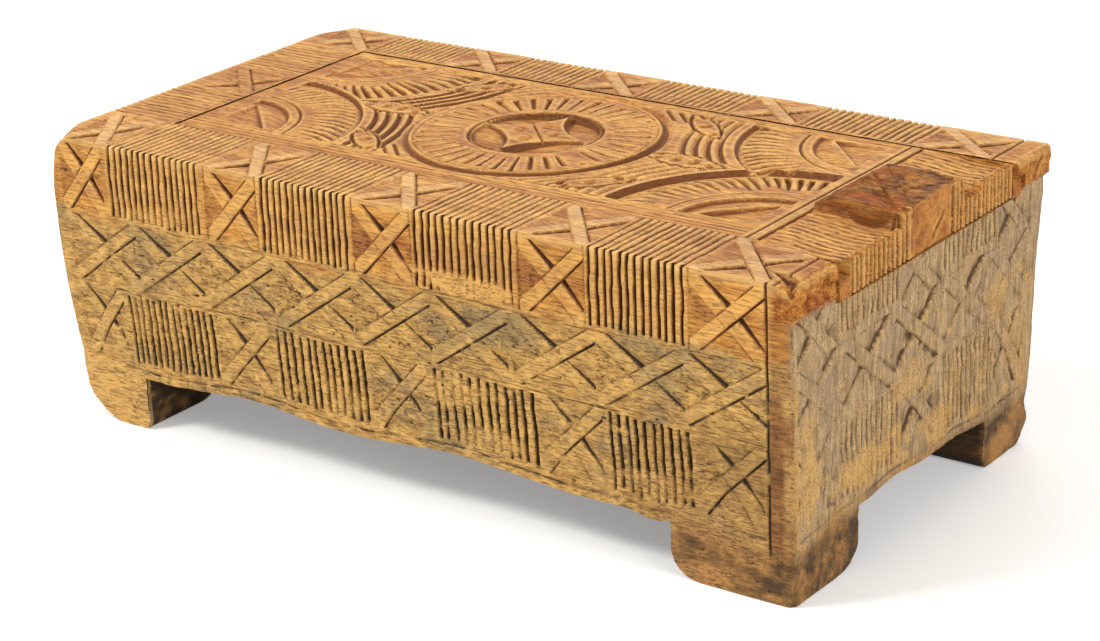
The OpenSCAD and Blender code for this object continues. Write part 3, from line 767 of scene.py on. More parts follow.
def over_feet(columns, low_in, high_in):
    """The columns of a wall that stand over its two feet, the last ones on the feet's inner faces."""
    low = columns[columns <= low_in]
    high = columns[columns >= high_in]
    low[-1] = low_in
    high[0] = high_in
    return low, high


def feet_of(at, columns, z_step):
    """The grids of the two feet of one long side; their columns meet the wall's."""
    return [(sheet(Y, at, part[::2], (0, WALL_FOOT, z_step)), at > 0)
            for part in over_feet(columns, FOOT_LEFT_IN, FOOT_RIGHT_IN)]


front_columns = between(LEFT, RIGHT, 0.26)
upper_rows = between(UPPER_LINE, TOP, 0.26)
middle_rows = between(LOWER_LINE, UPPER_LINE, 0.26)
lower_rows = between(WALL_FOOT, LOWER_LINE, 0.27)
front_rows = np.concatenate([lower_rows, middle_rows[1:], upper_rows[1:]])
front_wall = carved(sheet(Y, FRONT, front_columns, front_rows))
lower_row = len(lower_rows) - 1
upper_row = lower_row + len(middle_rows) - 1
outer("block_front_upper_band", [strip_of(front_wall, upper_row, None)])
outer("block_front_lattice_band", [strip_of(front_wall, lower_row, upper_row + 1)])
outer("block_front_lower_band_and_feet", [strip_of(front_wall, 0, lower_row + 1)]
      + carved_grids(feet_of(FRONT, front_columns, 0.6)))


# ---------------------------------------------------------------- right end
# The right end wall of the block, end grain worn grey, three millimetres behind the
# band that the rail ends and the lid make above it. Its carving is nearly rubbed out.

END_SQUARES = [(-61.5, -42.5), (-12.0, 8.5), (39.0, 58.0)]
END_COMBS = [(-42.0, -12.8, 12), (9.5, 38.2, 12)]


def right_cut(y, z):
    """Depth of the carving on the right end."""
    lattice = lattice_cut(-y, z, [52.0 - 25.0 * k for k in range(5)], 51.8, 26.4, 20.4, 12.5, 180,
                          depth=1.8, slit=1.4)
    cut = deepest((squares_cut(y, z, END_SQUARES, 68.0, 18.0, 140, way=-1, depth=1.7, slit=1.4),
                   squares_cut(y, z, END_SQUARES, 31.5, 19.0, 150, way=-1, depth=1.7, slit=1.4),
                   combs_cut(y, z, END_COMBS, 64.0, 73.5, 1.3, 1.0, 0.0, 160),
                   combs_cut(y, z, END_COMBS, 21.5, 40.8, 1.4, 1.0, 0.02, 170),
                   lattice * (y < 57) * (y > -61.5),
                   band_lines(y, z, -61.5, 58.5)))
    worn = 0.5 + 0.5 * smooth(-0.5, 0.4, lumps(y, z, 16.0, 12.0, 190))
    fill = 0.6 * crust(y, z, RIGHT_END)
    rough = 0.35 + 0.1 * lumps(y, z, 1.1, 9.0, 191) + 0.6 * lumps(y, z, 9.0, 7.0, 192)
    cut = cut * worn * (1 - fill) + weather(y, z, RIGHT_END, 0.5) + rough * smooth(76, 73, z) - 0.1 * fill
    stub = smooth(73.0, 75.5, z)
    fibres = 0.35 + 0.3 * lumps(y, z, 1.3, 5.0, 195) + 0.3 * lumps(y, z, 4.0, 4.0, 196)
    slash = furrow((y - 57.5) - 0.8 * (z - 79.0), 1.5, 1.6) * (y > 40)
    slash = slash * smooth(75.5, 76.5, z) * (1 - smooth(81.0, 82.0, z))
    return np.maximum(cut, 0) * (1 - stub) + stub * (np.maximum(fibres, 0) + slash)


SIDE_CUTS["right"] = right_cut


# ---------------------------------------------------------------- left end and back
# The left end and the back are carved with the same bands as the front and the right
# end; both lean in towards the feet, and the top arris of the left end is worn round.

def back_cut(x, z):
    """Depth of the carving on the back, the front's layout turned round."""
    faded = 0.15 + 0.75 * smooth(82.8, 80.8, z)
    return front_cut(-x - 1.0, z) * faded + 0.1 * lumps(x, z, 5.0, 4.0, 201)


LEFT_SQUARES = [(-53.0, -35.0), (-9.0, 11.0), (37.0, 56.0)]
LEFT_COMBS = [(-34.0, -10.0, 10), (12.0, 36.0, 10)]


def left_cut(y, z):
    """Depth of the carving on the left end."""
    lattice = lattice_cut(y, z, [-48.0 + 24.0 * k for k in range(5)], 51.5, 25.4, 19.4, 12.0, 280,
                          strap=4.2, depth=1.0, slit=1.3)
    cut = deepest((squares_cut(y, z, LEFT_SQUARES, 68.5, 14.0, 240, depth=0.9, slit=1.2),
                   squares_cut(y, z, LEFT_SQUARES, 31.0, 19.0, 250, depth=0.9, slit=1.2),
                   combs_cut(y, z, LEFT_COMBS, 62.4, 75.0, 1.3, 1.1, 0.0, 260),
                   combs_cut(y, z, LEFT_COMBS, 21.5, 40.8, 1.4, 1.2, 0.02, 270),
                   lattice * (np.abs(y - 1.5) < 55),
                   band_lines(y, z, -53.0, 56.0)))
    fill = 0.7 * crust(y, z, LEFT_END)
    return cut * 0.8 * (1 - fill) + weather(y, z, LEFT_END, 0.9) - 0.3 * fill


SIDE_CUTS["back"] = back_cut
SIDE_CUTS["left"] = left_cut


# ---------------------------------------------------------------- rails and left strip
# The top of the block round the lid: two rails that hold the lid and the fixed strip
# that stops it, cut with the same squares and flutes, rubbed smooth by hands.

BACK_COMBS = [(-97.0, -68.5, 13), (-48.5, -21.5, 12), (-0.5, 31.5, 14), (53.5, 89.5, 16)]
STRIP_COMBS = [(-38.5, -8.0, 13), (15.0, 43.0, 12)]
STRIP_MID = (LEFT + STRIP_IN) / 2 + 1.5


def top_cut(x, y):
    """Depth of the carving on the rails and the left strip."""
    on_rail = (y < RAIL_IN_FRONT + 1) | (y > RAIL_IN_BACK - 1)
    front_squares = squares_cut(x, -y, UPPER_SQUARES, *FRONT_RAIL_BAND, 300, depth=0.9, slit=2.3)
    back_squares = squares_cut(x, -y, BACK_SQUARES, *BACK_RAIL_BAND, 320, depth=0.9, slit=2.0)
    front_combs = combs_cut(x, y, UPPER_COMBS, FRONT - 4, RAIL_IN_FRONT + 3, 0.9, 1.3, 0.0, 60)
    strip_square = crossed(x, -y, STRIP_MID, -3.5, 20.0, 21.0, seed=341, depth=0.9, slit=2.0)
    cut = deepest((front_squares * (y < RAIL_IN_FRONT),
                   front_combs * (y < RAIL_IN_FRONT + 0.1),
                   back_squares * (y > RAIL_IN_BACK),
                   combs_cut(x, y, BACK_COMBS, RAIL_IN_BACK + 1.2, BACK + 4, 1.0, 1.25, 0.0, 330),
                   strip_square * (x < STRIP_IN),
                   combs_cut(y, x, STRIP_COMBS, LEFT - 4, STRIP_IN - 1.0, 1.05, 0.95, 0.0, 350),
                   furrow(x - 113.5, 1.1, 1.0) * on_rail,
                   furrow(x + 100.5, 0.8, 0.7) * on_rail))
    for squares, this_rail in ((UPPER_SQUARES[1:4], y < 0), (BACK_SQUARES[1:4], y > 0)):
        for a, b in squares:
            borders = furrow(x - a, 0.6, 0.5) + furrow(x - b, 0.6, 0.5)
            cut = np.maximum(cut, 0.7 * borders * this_rail * on_rail)
    gap = (y + 55.2 + 0.34 * (x - 107.5)) / (0.2 + 1.9 * smooth(107.0, 116.0, x))
    cut = np.maximum(cut, 2.6 * np.clip(1 - np.abs(gap), 0, 1) ** 0.7 * smooth(106.5, 109.0, x))
    stub = rail_break(x, y, TOP)
    snapped = 0.5 + 0.4 * lumps(x, y, 3.5, 4.5, 361) + 0.4 * lumps(x, y, 1.3, 1.3, 362)
    soft = 0.08 * lumps(x, y, 11.0, 9.0, 363) + 0.08
    return np.maximum(cut * (1 - 0.5 * stub), 0) + soft + stub * np.maximum(snapped, 0.0)


SIDE_CUTS["top"] = top_cut


back_columns = between(LEFT, RIGHT, 0.5)
back_wall = sheet(Y, BACK, back_columns, (WALL_FOOT, TOP, 0.6))
outer("block_back_side", carved_grids([(back_wall, True)] + feet_of(BACK, back_columns, 1.0)))


def end_side(at, y_step, z_step, top):
    """The grids of one end: the wall and its two feet."""
    columns = between(FRONT, BACK, y_step)
    near, far = over_feet(columns, FOOT_FRONT_IN, FOOT_BACK_IN)
    return [(sheet(X, at, part, (low, high, z_step)), at < 0) for part, low, high in (
        (columns, WALL_FOOT, top), (near, 0, WALL_FOOT), (far, 0, WALL_FOOT))]


# the outer walls of the two grooves
GROOVE_FRONT = -44.0
GROOVE_BACK = 49.5
rail_ends = [(sheet(X, RIGHT, (low_y, high_y, 0.3), (low_z, TOP, 0.3)), False) for low_y, high_y, low_z in (
    (FRONT, GROOVE_FRONT, SEAT), (GROOVE_FRONT, RAIL_IN_FRONT, GROOVE_ROOF),
    (RAIL_IN_BACK, GROOVE_BACK, GROOVE_ROOF), (GROOVE_BACK, BACK, SEAT))]
outer("block_right_end", carved_grids(end_side(RIGHT, 0.36, 0.36, SEAT) + rail_ends))
outer("block_left_end", carved_grids(end_side(LEFT, 0.5, 0.5, TOP)))

outer("block_front_rail", carved_grids([
    (sheet(Z, TOP, (STRIP_IN, RIGHT, 0.28), (FRONT, RAIL_IN_FRONT, 0.4)), False)]))
outer("block_back_rail_and_strip", carved_grids([
    (sheet(Z, TOP, (STRIP_IN, RIGHT, 0.32), (RAIL_IN_BACK, BACK, 0.5)), False),
    (sheet(Z, TOP, (LEFT, STRIP_IN, 0.5), (FRONT, BACK, 0.33)), False)]))


# ---------------------------------------------------------------- hollow, grooves and underside
# Inside the block: the square-cut store, the groove down each rail for the lid's tongues
# and the seat over the right wall, all left from the gouge; below, the cut between the feet.

def run_along_x(x_from, x_to, profile, step=3.0):
    """A surface whose outline in Y and Z runs along X."""
    ys, zs = [], []
    for (y0, z0), (y1, z1) in zip(profile, profile[1:]):
        count = max(2, int(math.hypot(y1 - y0, z1 - z0) / step) + 1)
        ys += list(np.linspace(y0, y1, count))
        zs += list(np.linspace(z0, z1, count))
    x, y = np.meshgrid(between(x_from, x_to, step), ys, indexing="ij")
    return np.stack([x, y, np.broadcast_to(zs, x.shape)], -1).astype(float)


def hidden_face_shade(grid, shade=0.35):
    """Marks for hidden faces inside the block and of the lid: painted shade by the given amount, and a little
    of the feet's darker colour.
    """
    return {"cut": np.full(grid.shape[:2], shade), "footed": np.full(grid.shape[:2], 0.35)}


def gouged(grid, amount):
    """Leaves shallow tool marks on an upright cross wall."""
    moved = grid.copy()
    moved[..., 0] += amount * lumps(grid[..., 1], grid[..., 2], 9.0, 5.0, 401)
    return moved


CAVITY_RIGHT = 98.5
FLOOR_TOP = 26.0
STEP_IN = RIGHT - END_STEP
# outlines in Y and Z
front_groove = [(RAIL_IN_FRONT, TOP - 0.4), (RAIL_IN_FRONT, GROOVE_ROOF), (GROOVE_FRONT, GROOVE_ROOF),
                (GROOVE_FRONT, SEAT), (RAIL_IN_FRONT, SEAT)]
back_groove = [(RAIL_IN_BACK, SEAT), (GROOVE_BACK, SEAT), (GROOVE_BACK, GROOVE_ROOF),
               (RAIL_IN_BACK, GROOVE_ROOF), (RAIL_IN_BACK, TOP - 0.4)]
store = [(RAIL_IN_FRONT, SEAT), (RAIL_IN_FRONT, FLOOR_TOP), (RAIL_IN_BACK, FLOOR_TOP), (RAIL_IN_BACK, SEAT)]
PIN_X = 103.0
BORE_RADIUS = 2.6
BORE_DEPTH = 4.5  # how much of each bore is made
MOUTH_HALF = 3.0  # half the length of wall that is set round a bore's mouth
pin_low, pin_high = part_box("front_pin")
BORE_Z = (pin_low[2] + pin_high[2]) / 2 / MM


def bore_mouth(wall_y, into):
    """The groove's wall round the mouth of a pin's bore, and the start of the bore."""
    turn, row = np.meshgrid(np.linspace(0, 2 * math.pi, 65), [0, 1, 2], indexing="ij")
    c, s = np.cos(turn), np.sin(turn)
    tall = np.where(s > 0, GROOVE_ROOF - BORE_Z, BORE_Z - SEAT)
    edge = np.minimum(MOUTH_HALF / np.maximum(np.abs(c), 1e-6), tall / np.maximum(np.abs(s), 1e-6))
    reach = np.where(row == 0, edge, BORE_RADIUS)
    return np.stack([PIN_X + reach * c, wall_y + BORE_DEPTH * into * (row == 2), BORE_Z + reach * s], -1)


inside = []
for profile, wall_y, into, split in ((front_groove, GROOVE_FRONT, -1, 3), (back_groove, GROOVE_BACK, 1, 2)):
    runs = [(STRIP_IN, PIN_X - MOUTH_HALF, profile), (PIN_X + MOUTH_HALF, RIGHT - 0.1, profile)]
    runs += [(PIN_X - MOUTH_HALF, PIN_X + MOUTH_HALF, part) for part in (profile[:split], profile[split:])]
    for x_from, x_to, outline in runs:
        grid = run_along_x(x_from, x_to, outline, 1.5)
        # painted shade down the grooves, fading on the broken ends and near the top
        marks = hidden_face_shade(grid, 0.6)
        marks["broken"] = 0.85 * smooth(112.0, 118.0, grid[..., 0])
        marks["cut"] = marks["cut"] * (1 - 0.7 * marks["broken"])
        marks["cut"] = marks["cut"] * (1 - 0.8 * smooth(TOP - 5, TOP - 2, grid[..., 2]))
        grid[..., 0] -= stepped_back(grid[..., 0], grid[..., 2])
        inside.append((broken_rail_end(grid), False, marks))
    mouth = bore_mouth(wall_y, into)
    inside.append((mouth, into > 0, hidden_face_shade(mouth, 0.6)))
store_grid = run_along_x(STRIP_IN, CAVITY_RIGHT, store)
inside.append((store_grid, False, hidden_face_shade(store_grid, 0.25)))
seat_grid = sheet(Z, SEAT, (CAVITY_RIGHT, STEP_IN, 2.0), (RAIL_IN_FRONT, RAIL_IN_BACK, 3.0))
inside.append((seat_grid, False, hidden_face_shade(seat_grid)))
for at, low_z, high_z, flip in ((STRIP_IN, FLOOR_TOP, TOP - 0.6, False),
                                (CAVITY_RIGHT, FLOOR_TOP, SEAT, True)):
    wall = gouged(sheet(X, at, (RAIL_IN_FRONT, RAIL_IN_BACK, 2.0), (low_z, high_z, 2.0)), 0.2)
    inside.append((wall, flip, hidden_face_shade(wall, 0.1)))
for y_from, y_to in ((GROOVE_FRONT, RAIL_IN_FRONT), (RAIL_IN_BACK, GROOVE_BACK)):
    stop = sheet(X, STRIP_IN, (y_from, y_to, 2.0), (SEAT, GROOVE_ROOF, 2.0))
    inside.append((stop, False, hidden_face_shade(stop)))
outer("block_hollow", inside)

below = []
for x_from, x_to, y_from, y_to in ((FOOT_LEFT_IN, FOOT_RIGHT_IN, FRONT, BACK),
                                   (LEFT, FOOT_LEFT_IN, FOOT_FRONT_IN, FOOT_BACK_IN),
                                   (FOOT_RIGHT_IN, RIGHT, FOOT_FRONT_IN, FOOT_BACK_IN)):
    below.append((sheet(Z, WALL_FOOT, (x_from, x_to, 2.0), (y_from, y_to, 2.0)), True))
for x_from, x_to, x_in in ((LEFT, FOOT_LEFT_IN, FOOT_LEFT_IN), (FOOT_RIGHT_IN, RIGHT, FOOT_RIGHT_IN)):
    for y_from, y_to, y_in in ((FRONT, FOOT_FRONT_IN, FOOT_FRONT_IN), (FOOT_BACK_IN, BACK, FOOT_BACK_IN)):
        xs, ys, zs = (x_from, x_to, 1.0), (y_from, y_to, 1.0), (0, WALL_FOOT, 1.0)
        below.append((sheet(Z, 0, xs, ys), True))
        below.append((sheet(X, x_in, ys, zs), False))
        below.append((sheet(Y, y_in, xs, zs), False))
# the underside and the feet's inner faces are given painted shade
outer("block_underside", carved_grids(below, 0.95))


# ---------------------------------------------------------------- lid
# One board that slides out to the right between the rails. Its panel is chip-carved:
# a rayed medallion, four corner fans that cross beside it, dotted lenses and border lines.

# the edges of the lid's top, a hair from the strip and the rails
lid_low, lid_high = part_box("lid")
LID_LEFT = lid_low[0] / MM - 0.12
LID_RIGHT = lid_high[0] / MM
LID_FRONT = RAIL_IN_FRONT + 0.15
LID_BACK = RAIL_IN_BACK - 0.06
THUMB_TOP = lid_high[2] / MM
# the middle of the medallion, how far it and its star reach, and the panel round it
MEDAL_X, MEDAL_Y = -4.5, 5.0
MEDAL_REACH = 37.2
STAR_REACH = 17.0
STAR_BOW = 0.62  # the star's sides bow in the more, the smaller this is
PANEL_LEFT, PANEL_RIGHT = -91.5, 87.5
PANEL_LOW, PANEL_HIGH = -30.0, 40.5
# the corner fans: how far they reach, and the cuts in each and in the medallion
FAN_REACH = 45.8
FEATHERS = 19
RAYS = 41


def arc_cut(radius, at, width, depth, lean=0.0):
    """A cut round a circle; lean makes its outer side a long slope."""
    off = radius - at
    cut = furrow(off, width, depth)
    if lean > 0:
        cut = np.maximum(cut, depth * np.clip(1 - off / lean, 0, 1) * (off > 0))
    return cut


def medallion(x, y):
    """Ring groove, ring of rays with notched heads, and the four-pointed star in the middle."""
    dx, dy = x - MEDAL_X, y - MEDAL_Y
    radius = np.hypot(dx, dy)
    angle = np.arctan2(dy, dx)
    south_east = 0.5 + 0.5 * np.cos(angle + 0.6)
    turn = angle / (2 * math.pi) * RAYS
    k = np.floor(turn)
    pick = np.mod(k, RAYS)
    side = (turn - k - 0.5 + 0.12 * (chance(pick, 1, 501) - 0.5)) * 2 * math.pi / RAYS * radius
    inner = 20.8 + 2.0 * chance(pick, 2, 501)
    outer_end = 31.0 + 2.2 * chance(pick, 3, 501)
    run = smooth(inner - 0.5, inner + 0.8, radius) * (1 - smooth(outer_end - 0.4, outer_end + 0.4, radius))
    swell = (0.45 + 0.75 * chance(pick, 6, 501)) * (0.7 + 0.6 * smooth(inner, outer_end, radius))
    ray = run * 1.5 * np.clip(1 - np.abs(side) / swell, 0, 1) * (chance(pick, 4, 501) > 0.06)
    head = np.hypot(side / (1.0 + 0.3 * (radius - outer_end)), radius - outer_end + 0.4)
    notch = 1.7 * np.clip(1.15 - head, 0, 1) * (chance(pick, 5, 501) > 0.35)
    reach = np.abs(dx) ** STAR_BOW + np.abs(dy) ** STAR_BOW
    star_edge = STAR_REACH ** STAR_BOW
    star = smooth(star_edge + 0.1, star_edge + 0.32, reach) * (radius < 17.6)
    cut = deepest((arc_cut(radius, 35.6, 1.3 + 1.3 * south_east, 0.9 + 1.1 * south_east, 2.6),
                   0.8 * arc_cut(radius, 33.6, 0.7, 0.5), ray, notch, arc_cut(radius, 18.4, 1.2, 1.0),
                   star * (1.0 + 1.1 * np.sin(angle) ** 2),
                   furrow((dx + dy) * 0.707 - 0.6, 0.8, 0.7) * (radius < 15)))
    for px, py, size in ((0.4, -5.5, 1.8), (5.5, 0.8, 1.5), (-5.2, 0.2, 1.8), (0.0, 5.4, 1.5)):
        pit = np.hypot(dx - px, dy - py)
        cut = np.maximum(cut, 0.9 * np.clip(1.3 - pit / size, 0, 1))
    return cut, radius


def fan(x, y, corner_x, corner_y, seed, fat=0.0):
    """A quarter fan at a corner of the panel: two arcs with a row of feather cuts between them."""
    dx, dy = np.abs(x - corner_x), np.abs(y - corner_y)
    radius = np.hypot(dx, dy)
    turn = np.arctan2(dy, dx) / (math.pi / 2) * FEATHERS + 0.09 * (radius - 35)
    k = np.floor(turn)
    side = (turn - k - 0.5 + 0.2 * (chance(k, 4, seed) - 0.5)) * (math.pi / 2) / FEATHERS * radius
    inner = 28.4 + 3.5 * chance(k, 1, seed)
    out_to = np.clip((radius - inner) / 11.0, 0, 1)
    run = smooth(inner - 0.3, inner + 1.5, radius) * (1 - smooth(42.0, 42.8, radius))
    feather = run * (0.8 + 1.6 * out_to) * np.clip(1.1 - np.abs(side) / (0.45 + 0.85 * out_to), 0, 1)
    corner = np.maximum(dx - 3.0, 0) + np.maximum(dy - 3.0, 0)
    pit = smooth(16.5, 15.6, corner) * smooth(2.4, 3.4, dx) * smooth(2.4, 3.4, dy)
    slope = np.clip((dx + 0.4 * dy) / 18, 0.15, 1)
    cut = deepest((arc_cut(radius, 44.0 + 0.8 * fat, 1.0 + 1.8 * fat, 1.4 + 0.5 * fat),
                   1.3 * np.clip(1 - (44.0 - radius) / 6.0, 0, 1) * (radius < 44.0),
                   arc_cut(radius, 27.0, 0.9, 0.9), arc_cut(radius, 23.4, 0.9, 0.9),
                   1.2 * np.clip(1 - (23.4 - radius) / 5.0, 0, 1) * (radius < 23.4),
                   feather, 1.4 * pit * slope))
    return cut, radius


def lens(x, y, mid_x, mid_y, length, width, turn, dots, seed):
    """A lens-shaped boss with a row of dots and two arcs on each side."""
    c, s = math.cos(turn), math.sin(turn)
    u = (x - mid_x) * c + (y - mid_y) * s
    v = -(x - mid_x) * s + (y - mid_y) * c
    bulge = width / 2 * np.clip(1 - (2 * u / length) ** 2, 0, 1)
    inside = np.abs(u) < length / 2
    cut = furrow(np.abs(v) - bulge, 1.1, 1.2) * inside
    for k in range(dots):
        at = (k - (dots - 1) / 2) * length * 0.62 / max(dots - 1, 1)
        size = 1.15 + 0.3 * chance(k, 0, seed)
        cut = np.maximum(cut, 1.6 * np.clip(1.35 - np.hypot(u - at, v * 0.8) / size, 0, 1))
    return cut, inside & (np.abs(v) < bulge + 0.6)


def lid_cut(x, y):
    """Depth of the carving on the lid's panel."""
    dx, dy = x - MEDAL_X, y - MEDAL_Y
    medal, medal_radius = medallion(x, y)
    total = np.zeros(np.shape(x))
    free = medal_radius > MEDAL_REACH
    taken = np.zeros(np.shape(x), dtype=bool)
    left, right = PANEL_LEFT - 1.0, PANEL_RIGHT + 1.0
    low, high = PANEL_LOW - 2.0, PANEL_HIGH + 2.0
    for corner_x, corner_y, seed, fat in ((right, low, 511, 1.0), (left, low, 512, 0.0),
                                          (right, high, 513, 0.0), (left, high, 514, 0.0)):
        cut, radius = fan(x, y, corner_x, corner_y, seed, fat)
        this = radius < FAN_REACH
        total = np.where(this & ~taken & free, cut, total)
        taken = taken | this
    lenses = np.zeros(np.shape(x))
    open_wood = free & ~taken
    for side, corner_x in ((-1, left), (1, right)):
        part, here = lens(x, y, MEDAL_X + side * 49.0, MEDAL_Y - 0.5, 26.0, 8.4, 0.0, 4, 520 + side)
        lenses = np.where(open_wood, np.maximum(lenses, part), lenses)
        for way, corner_y in ((-1, low), (1, high)):
            bow = np.hypot(x - corner_x, y - corner_y)
            for step in range(4):
                off = bow - 48.0 - 3.3 * step
                arc = 1.5 * np.clip(1 - off / 1.9, 0, 1) * smooth(-0.35, 0.0, off)
                arc = arc * ~here * (way * dy > 2.5)
                lenses = np.where(open_wood, np.maximum(lenses, arc), lenses)
            slant, boss = lens(x, y, MEDAL_X + side * 37.5, MEDAL_Y + way * 27.5, 24.0, 7.0,
                               -side * way * 0.72, 3, 530)
            lenses = np.where(open_wood & boss, slant, lenses)
            for step in range(4):
                off = (dx - side * (22.0 + 4.2 * step)) * 0.72 + side * way * (dy - way * 33.0) * 0.7
                dash = furrow(off, 1.3, 1.0) * (np.abs(dy) > 27.5 + 0.4 * step)
                lenses = np.where(open_wood & ~boss, np.maximum(lenses, dash), lenses)
    total = np.where(free, np.maximum(total, lenses), 0)
    in_panel = smooth(PANEL_LEFT - 0.2, PANEL_LEFT + 0.6, x)
    in_panel = in_panel * (1 - smooth(PANEL_RIGHT - 0.6, PANEL_RIGHT + 0.2, x))
    in_panel = in_panel * smooth(PANEL_LOW - 0.2, PANEL_LOW + 0.6, y)
    in_panel = in_panel * (1 - smooth(PANEL_HIGH - 0.6, PANEL_HIGH + 0.2, y))
    sway = 0.15 * np.sin(x * 0.06)
    borders = deepest(furrow(y - at - sway, 0.75, 0.5) for at in (-36.6, -34.6, -32.4, -30.6))
    borders = np.maximum(borders, furrow(y - 41.4, 0.8, 0.5)) * (x < right)
    total = deepest((total * in_panel, medal, borders,
                     furrow(x - 90.4, 1.0, 1.2), furrow(x - 93.6, 0.9, 1.1)))
    return total + 0.12 * lumps(x, y, 14.0, 7.0, 540) + 0.12


# the lid's cuts darken to a browner colour of grime and painted shade
lid_finish = wood("carved_lid_wood", tint(240, 180, 88), tint(166, 98, 36), 0.52, tint(122, 68, 20), 1.7)


def lid_skin(name, grids):
    """Makes a piece of the lid from grids and puts it in the frame."""
    piece = skin(name, grids, lid_finish)
    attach(piece, "lid")
    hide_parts("lid")
    return piece


PANEL_END = 94.2


def lid_level(x, y):
    """The lid's surface before the carving: worn down a little towards its arrises."""
    edge = np.minimum(np.minimum(y - LID_FRONT, LID_BACK - y), x - LID_LEFT)
    return TOP - 0.2 * smooth(0.8, 0.0, edge) - 0.1


LID_STEP_X, LID_STEP_Y = 0.3, 0.32
panel_grid = sheet(Z, 0, (LID_LEFT, PANEL_END, LID_STEP_X), (LID_FRONT, LID_BACK, LID_STEP_Y))
panel_x, panel_y = panel_grid[..., 0], panel_grid[..., 1]
panel_cut = lid_cut(panel_x, panel_y)
panel_grid[..., 2] = lid_level(panel_x, panel_y) - panel_cut
# painted shade in the cuts and on their walls, stronger painted highlights on the ridges
panel_marks = relief_marks(panel_cut, LID_STEP_X, LID_STEP_Y, 1.2, 0.85, 0.42)
panel_marks["ridge"] = np.clip(1.9 * panel_marks["ridge"], 0, 1)
# a painted shadow line along the front edge, where the lid meets the rail
panel_marks["cut"] = np.maximum(panel_marks["cut"], 0.8 * smooth(1.0, 0.3, panel_y - LID_FRONT))
panel_middle = panel_grid.shape[0] // 2
for name, part in (("lid_panel_left", slice(0, panel_middle + 1)),
                   ("lid_panel_right", slice(panel_middle, None))):
    lid_skin(name, [(panel_grid[part], False, {key: value[part] for key, value in panel_marks.items()})])


# ---------------------------------------------------------------- thumb end of the lid
# The right end of the lid: two sunk pockets ruled along X with a thumb block left
# standing between them, dark from handling, and deep flutes down the end face.

# the sides of the thumb block, the pockets' rim and the flutes of the end face
GRIP_FRONT = -12.9
GRIP_BACK = 18.2
RIM = LID_RIGHT - 2.3
END_COMB_FIELDS = [(-38.4, -14.6, 11), (-14.0, -9.8, 2), (12.0, 18.0, 3), (18.4, 27.4, 4), (28.0, 43.8, 8)]


def on_block(x, y):
    """1 on the thumb block, falling to 0 down its sides."""
    across = smooth(GRIP_FRONT - 0.5, GRIP_FRONT + 0.5, y) * (1 - smooth(GRIP_BACK - 0.5, GRIP_BACK + 0.5, y))
    return across * smooth(93.9, 94.5, x)


def grip_level(x, y):
    """The height of the lid's right end: sunk pockets, their rim and the thumb block."""
    pocket = TOP - 0.25 - 1.35 * smooth(94.0, 114.0, x) * (1 - smooth(RIM - 0.5, RIM, x))
    chipped = smooth(GRIP_BACK - 0.5, GRIP_BACK + 0.5, y) * (1 - smooth(27.0, 28.2, y))
    pocket = pocket - chipped * smooth(109.0, LID_RIGHT, x) * (2.2 + 0.4 * lumps(x, y, 2.5, 2.5, 604))
    block = THUMB_TOP - 0.4 - 2.2 * smooth(99.0, 94.0, x) - 0.25 * smooth(100.0, 118.0, x)
    return pocket + on_block(x, y) * (block - pocket)


def grip_cut(x, y):
    """Depth of the cuts on the lid's right end."""
    pockets = 1 - on_block(x, y)
    wave = 0.3 * np.sin(x * 0.3) + 0.35 * lumps(x, y, 6.0, 3.0, 605)
    ruled = furrow(np.mod(y + wave, 2.3) - 1.1, 0.9, 0.95) * pockets
    ruled = ruled * smooth(95.0, 96.5, x) * (1 - smooth(RIM - 1.0, RIM - 0.5, x))
    cross = crossed(-x, y, -107.5, 2.7, 25.0, 29.0, 4.4, 1.9, 2.6, 600)
    sides = comb(y, x, GRIP_FRONT, GRIP_FRONT + 6.0, LID_RIGHT - 2.2, LID_RIGHT + 3, 3, 1.1, 1.1, 0.0, 601)
    cross = cross * smooth(GRIP_FRONT, GRIP_FRONT + 1.0, y)
    cut = np.maximum(ruled, np.maximum(cross, sides) * (pockets < 0.5))
    toward_block = np.maximum(smooth(-39.0, -15.0, y) * (y < 2), smooth(44.0, 28.0, y) * (y > 2))
    wedge = furrow(x - RIM + 0.3, 0.9 + toward_block, 1.0 + 0.8 * toward_block)
    wedge = wedge * pockets * ((y < 2) | (y > 28.3))
    slit = furrow((x - 117.0) - 0.7 * (y - 15.8), 1.1, 1.3) * (np.abs(y - 15.8) < 2.0)
    rough = lumps(x, y, 1.6, 1.2, 603)
    grain = 0.8 * smooth(0.1, 0.7, lumps(x, y, 9.0, 1.1, 606)) * (pockets < 0.5)
    return deepest((cut, wedge, slit)) + grain + 0.15 + 0.12 * rough * (1 + (pockets < 0.5))


def end_comb(y, z):
    """Depth of the upright flutes of the end face."""
    ragged = y + 0.22 * lumps(y, z, 1.6, 0.9, 607)
    return combs_cut(ragged, z, END_COMB_FIELDS, SEAT - 5, THUMB_TOP + 5, 1.25, 2.3, 0.0, 610)


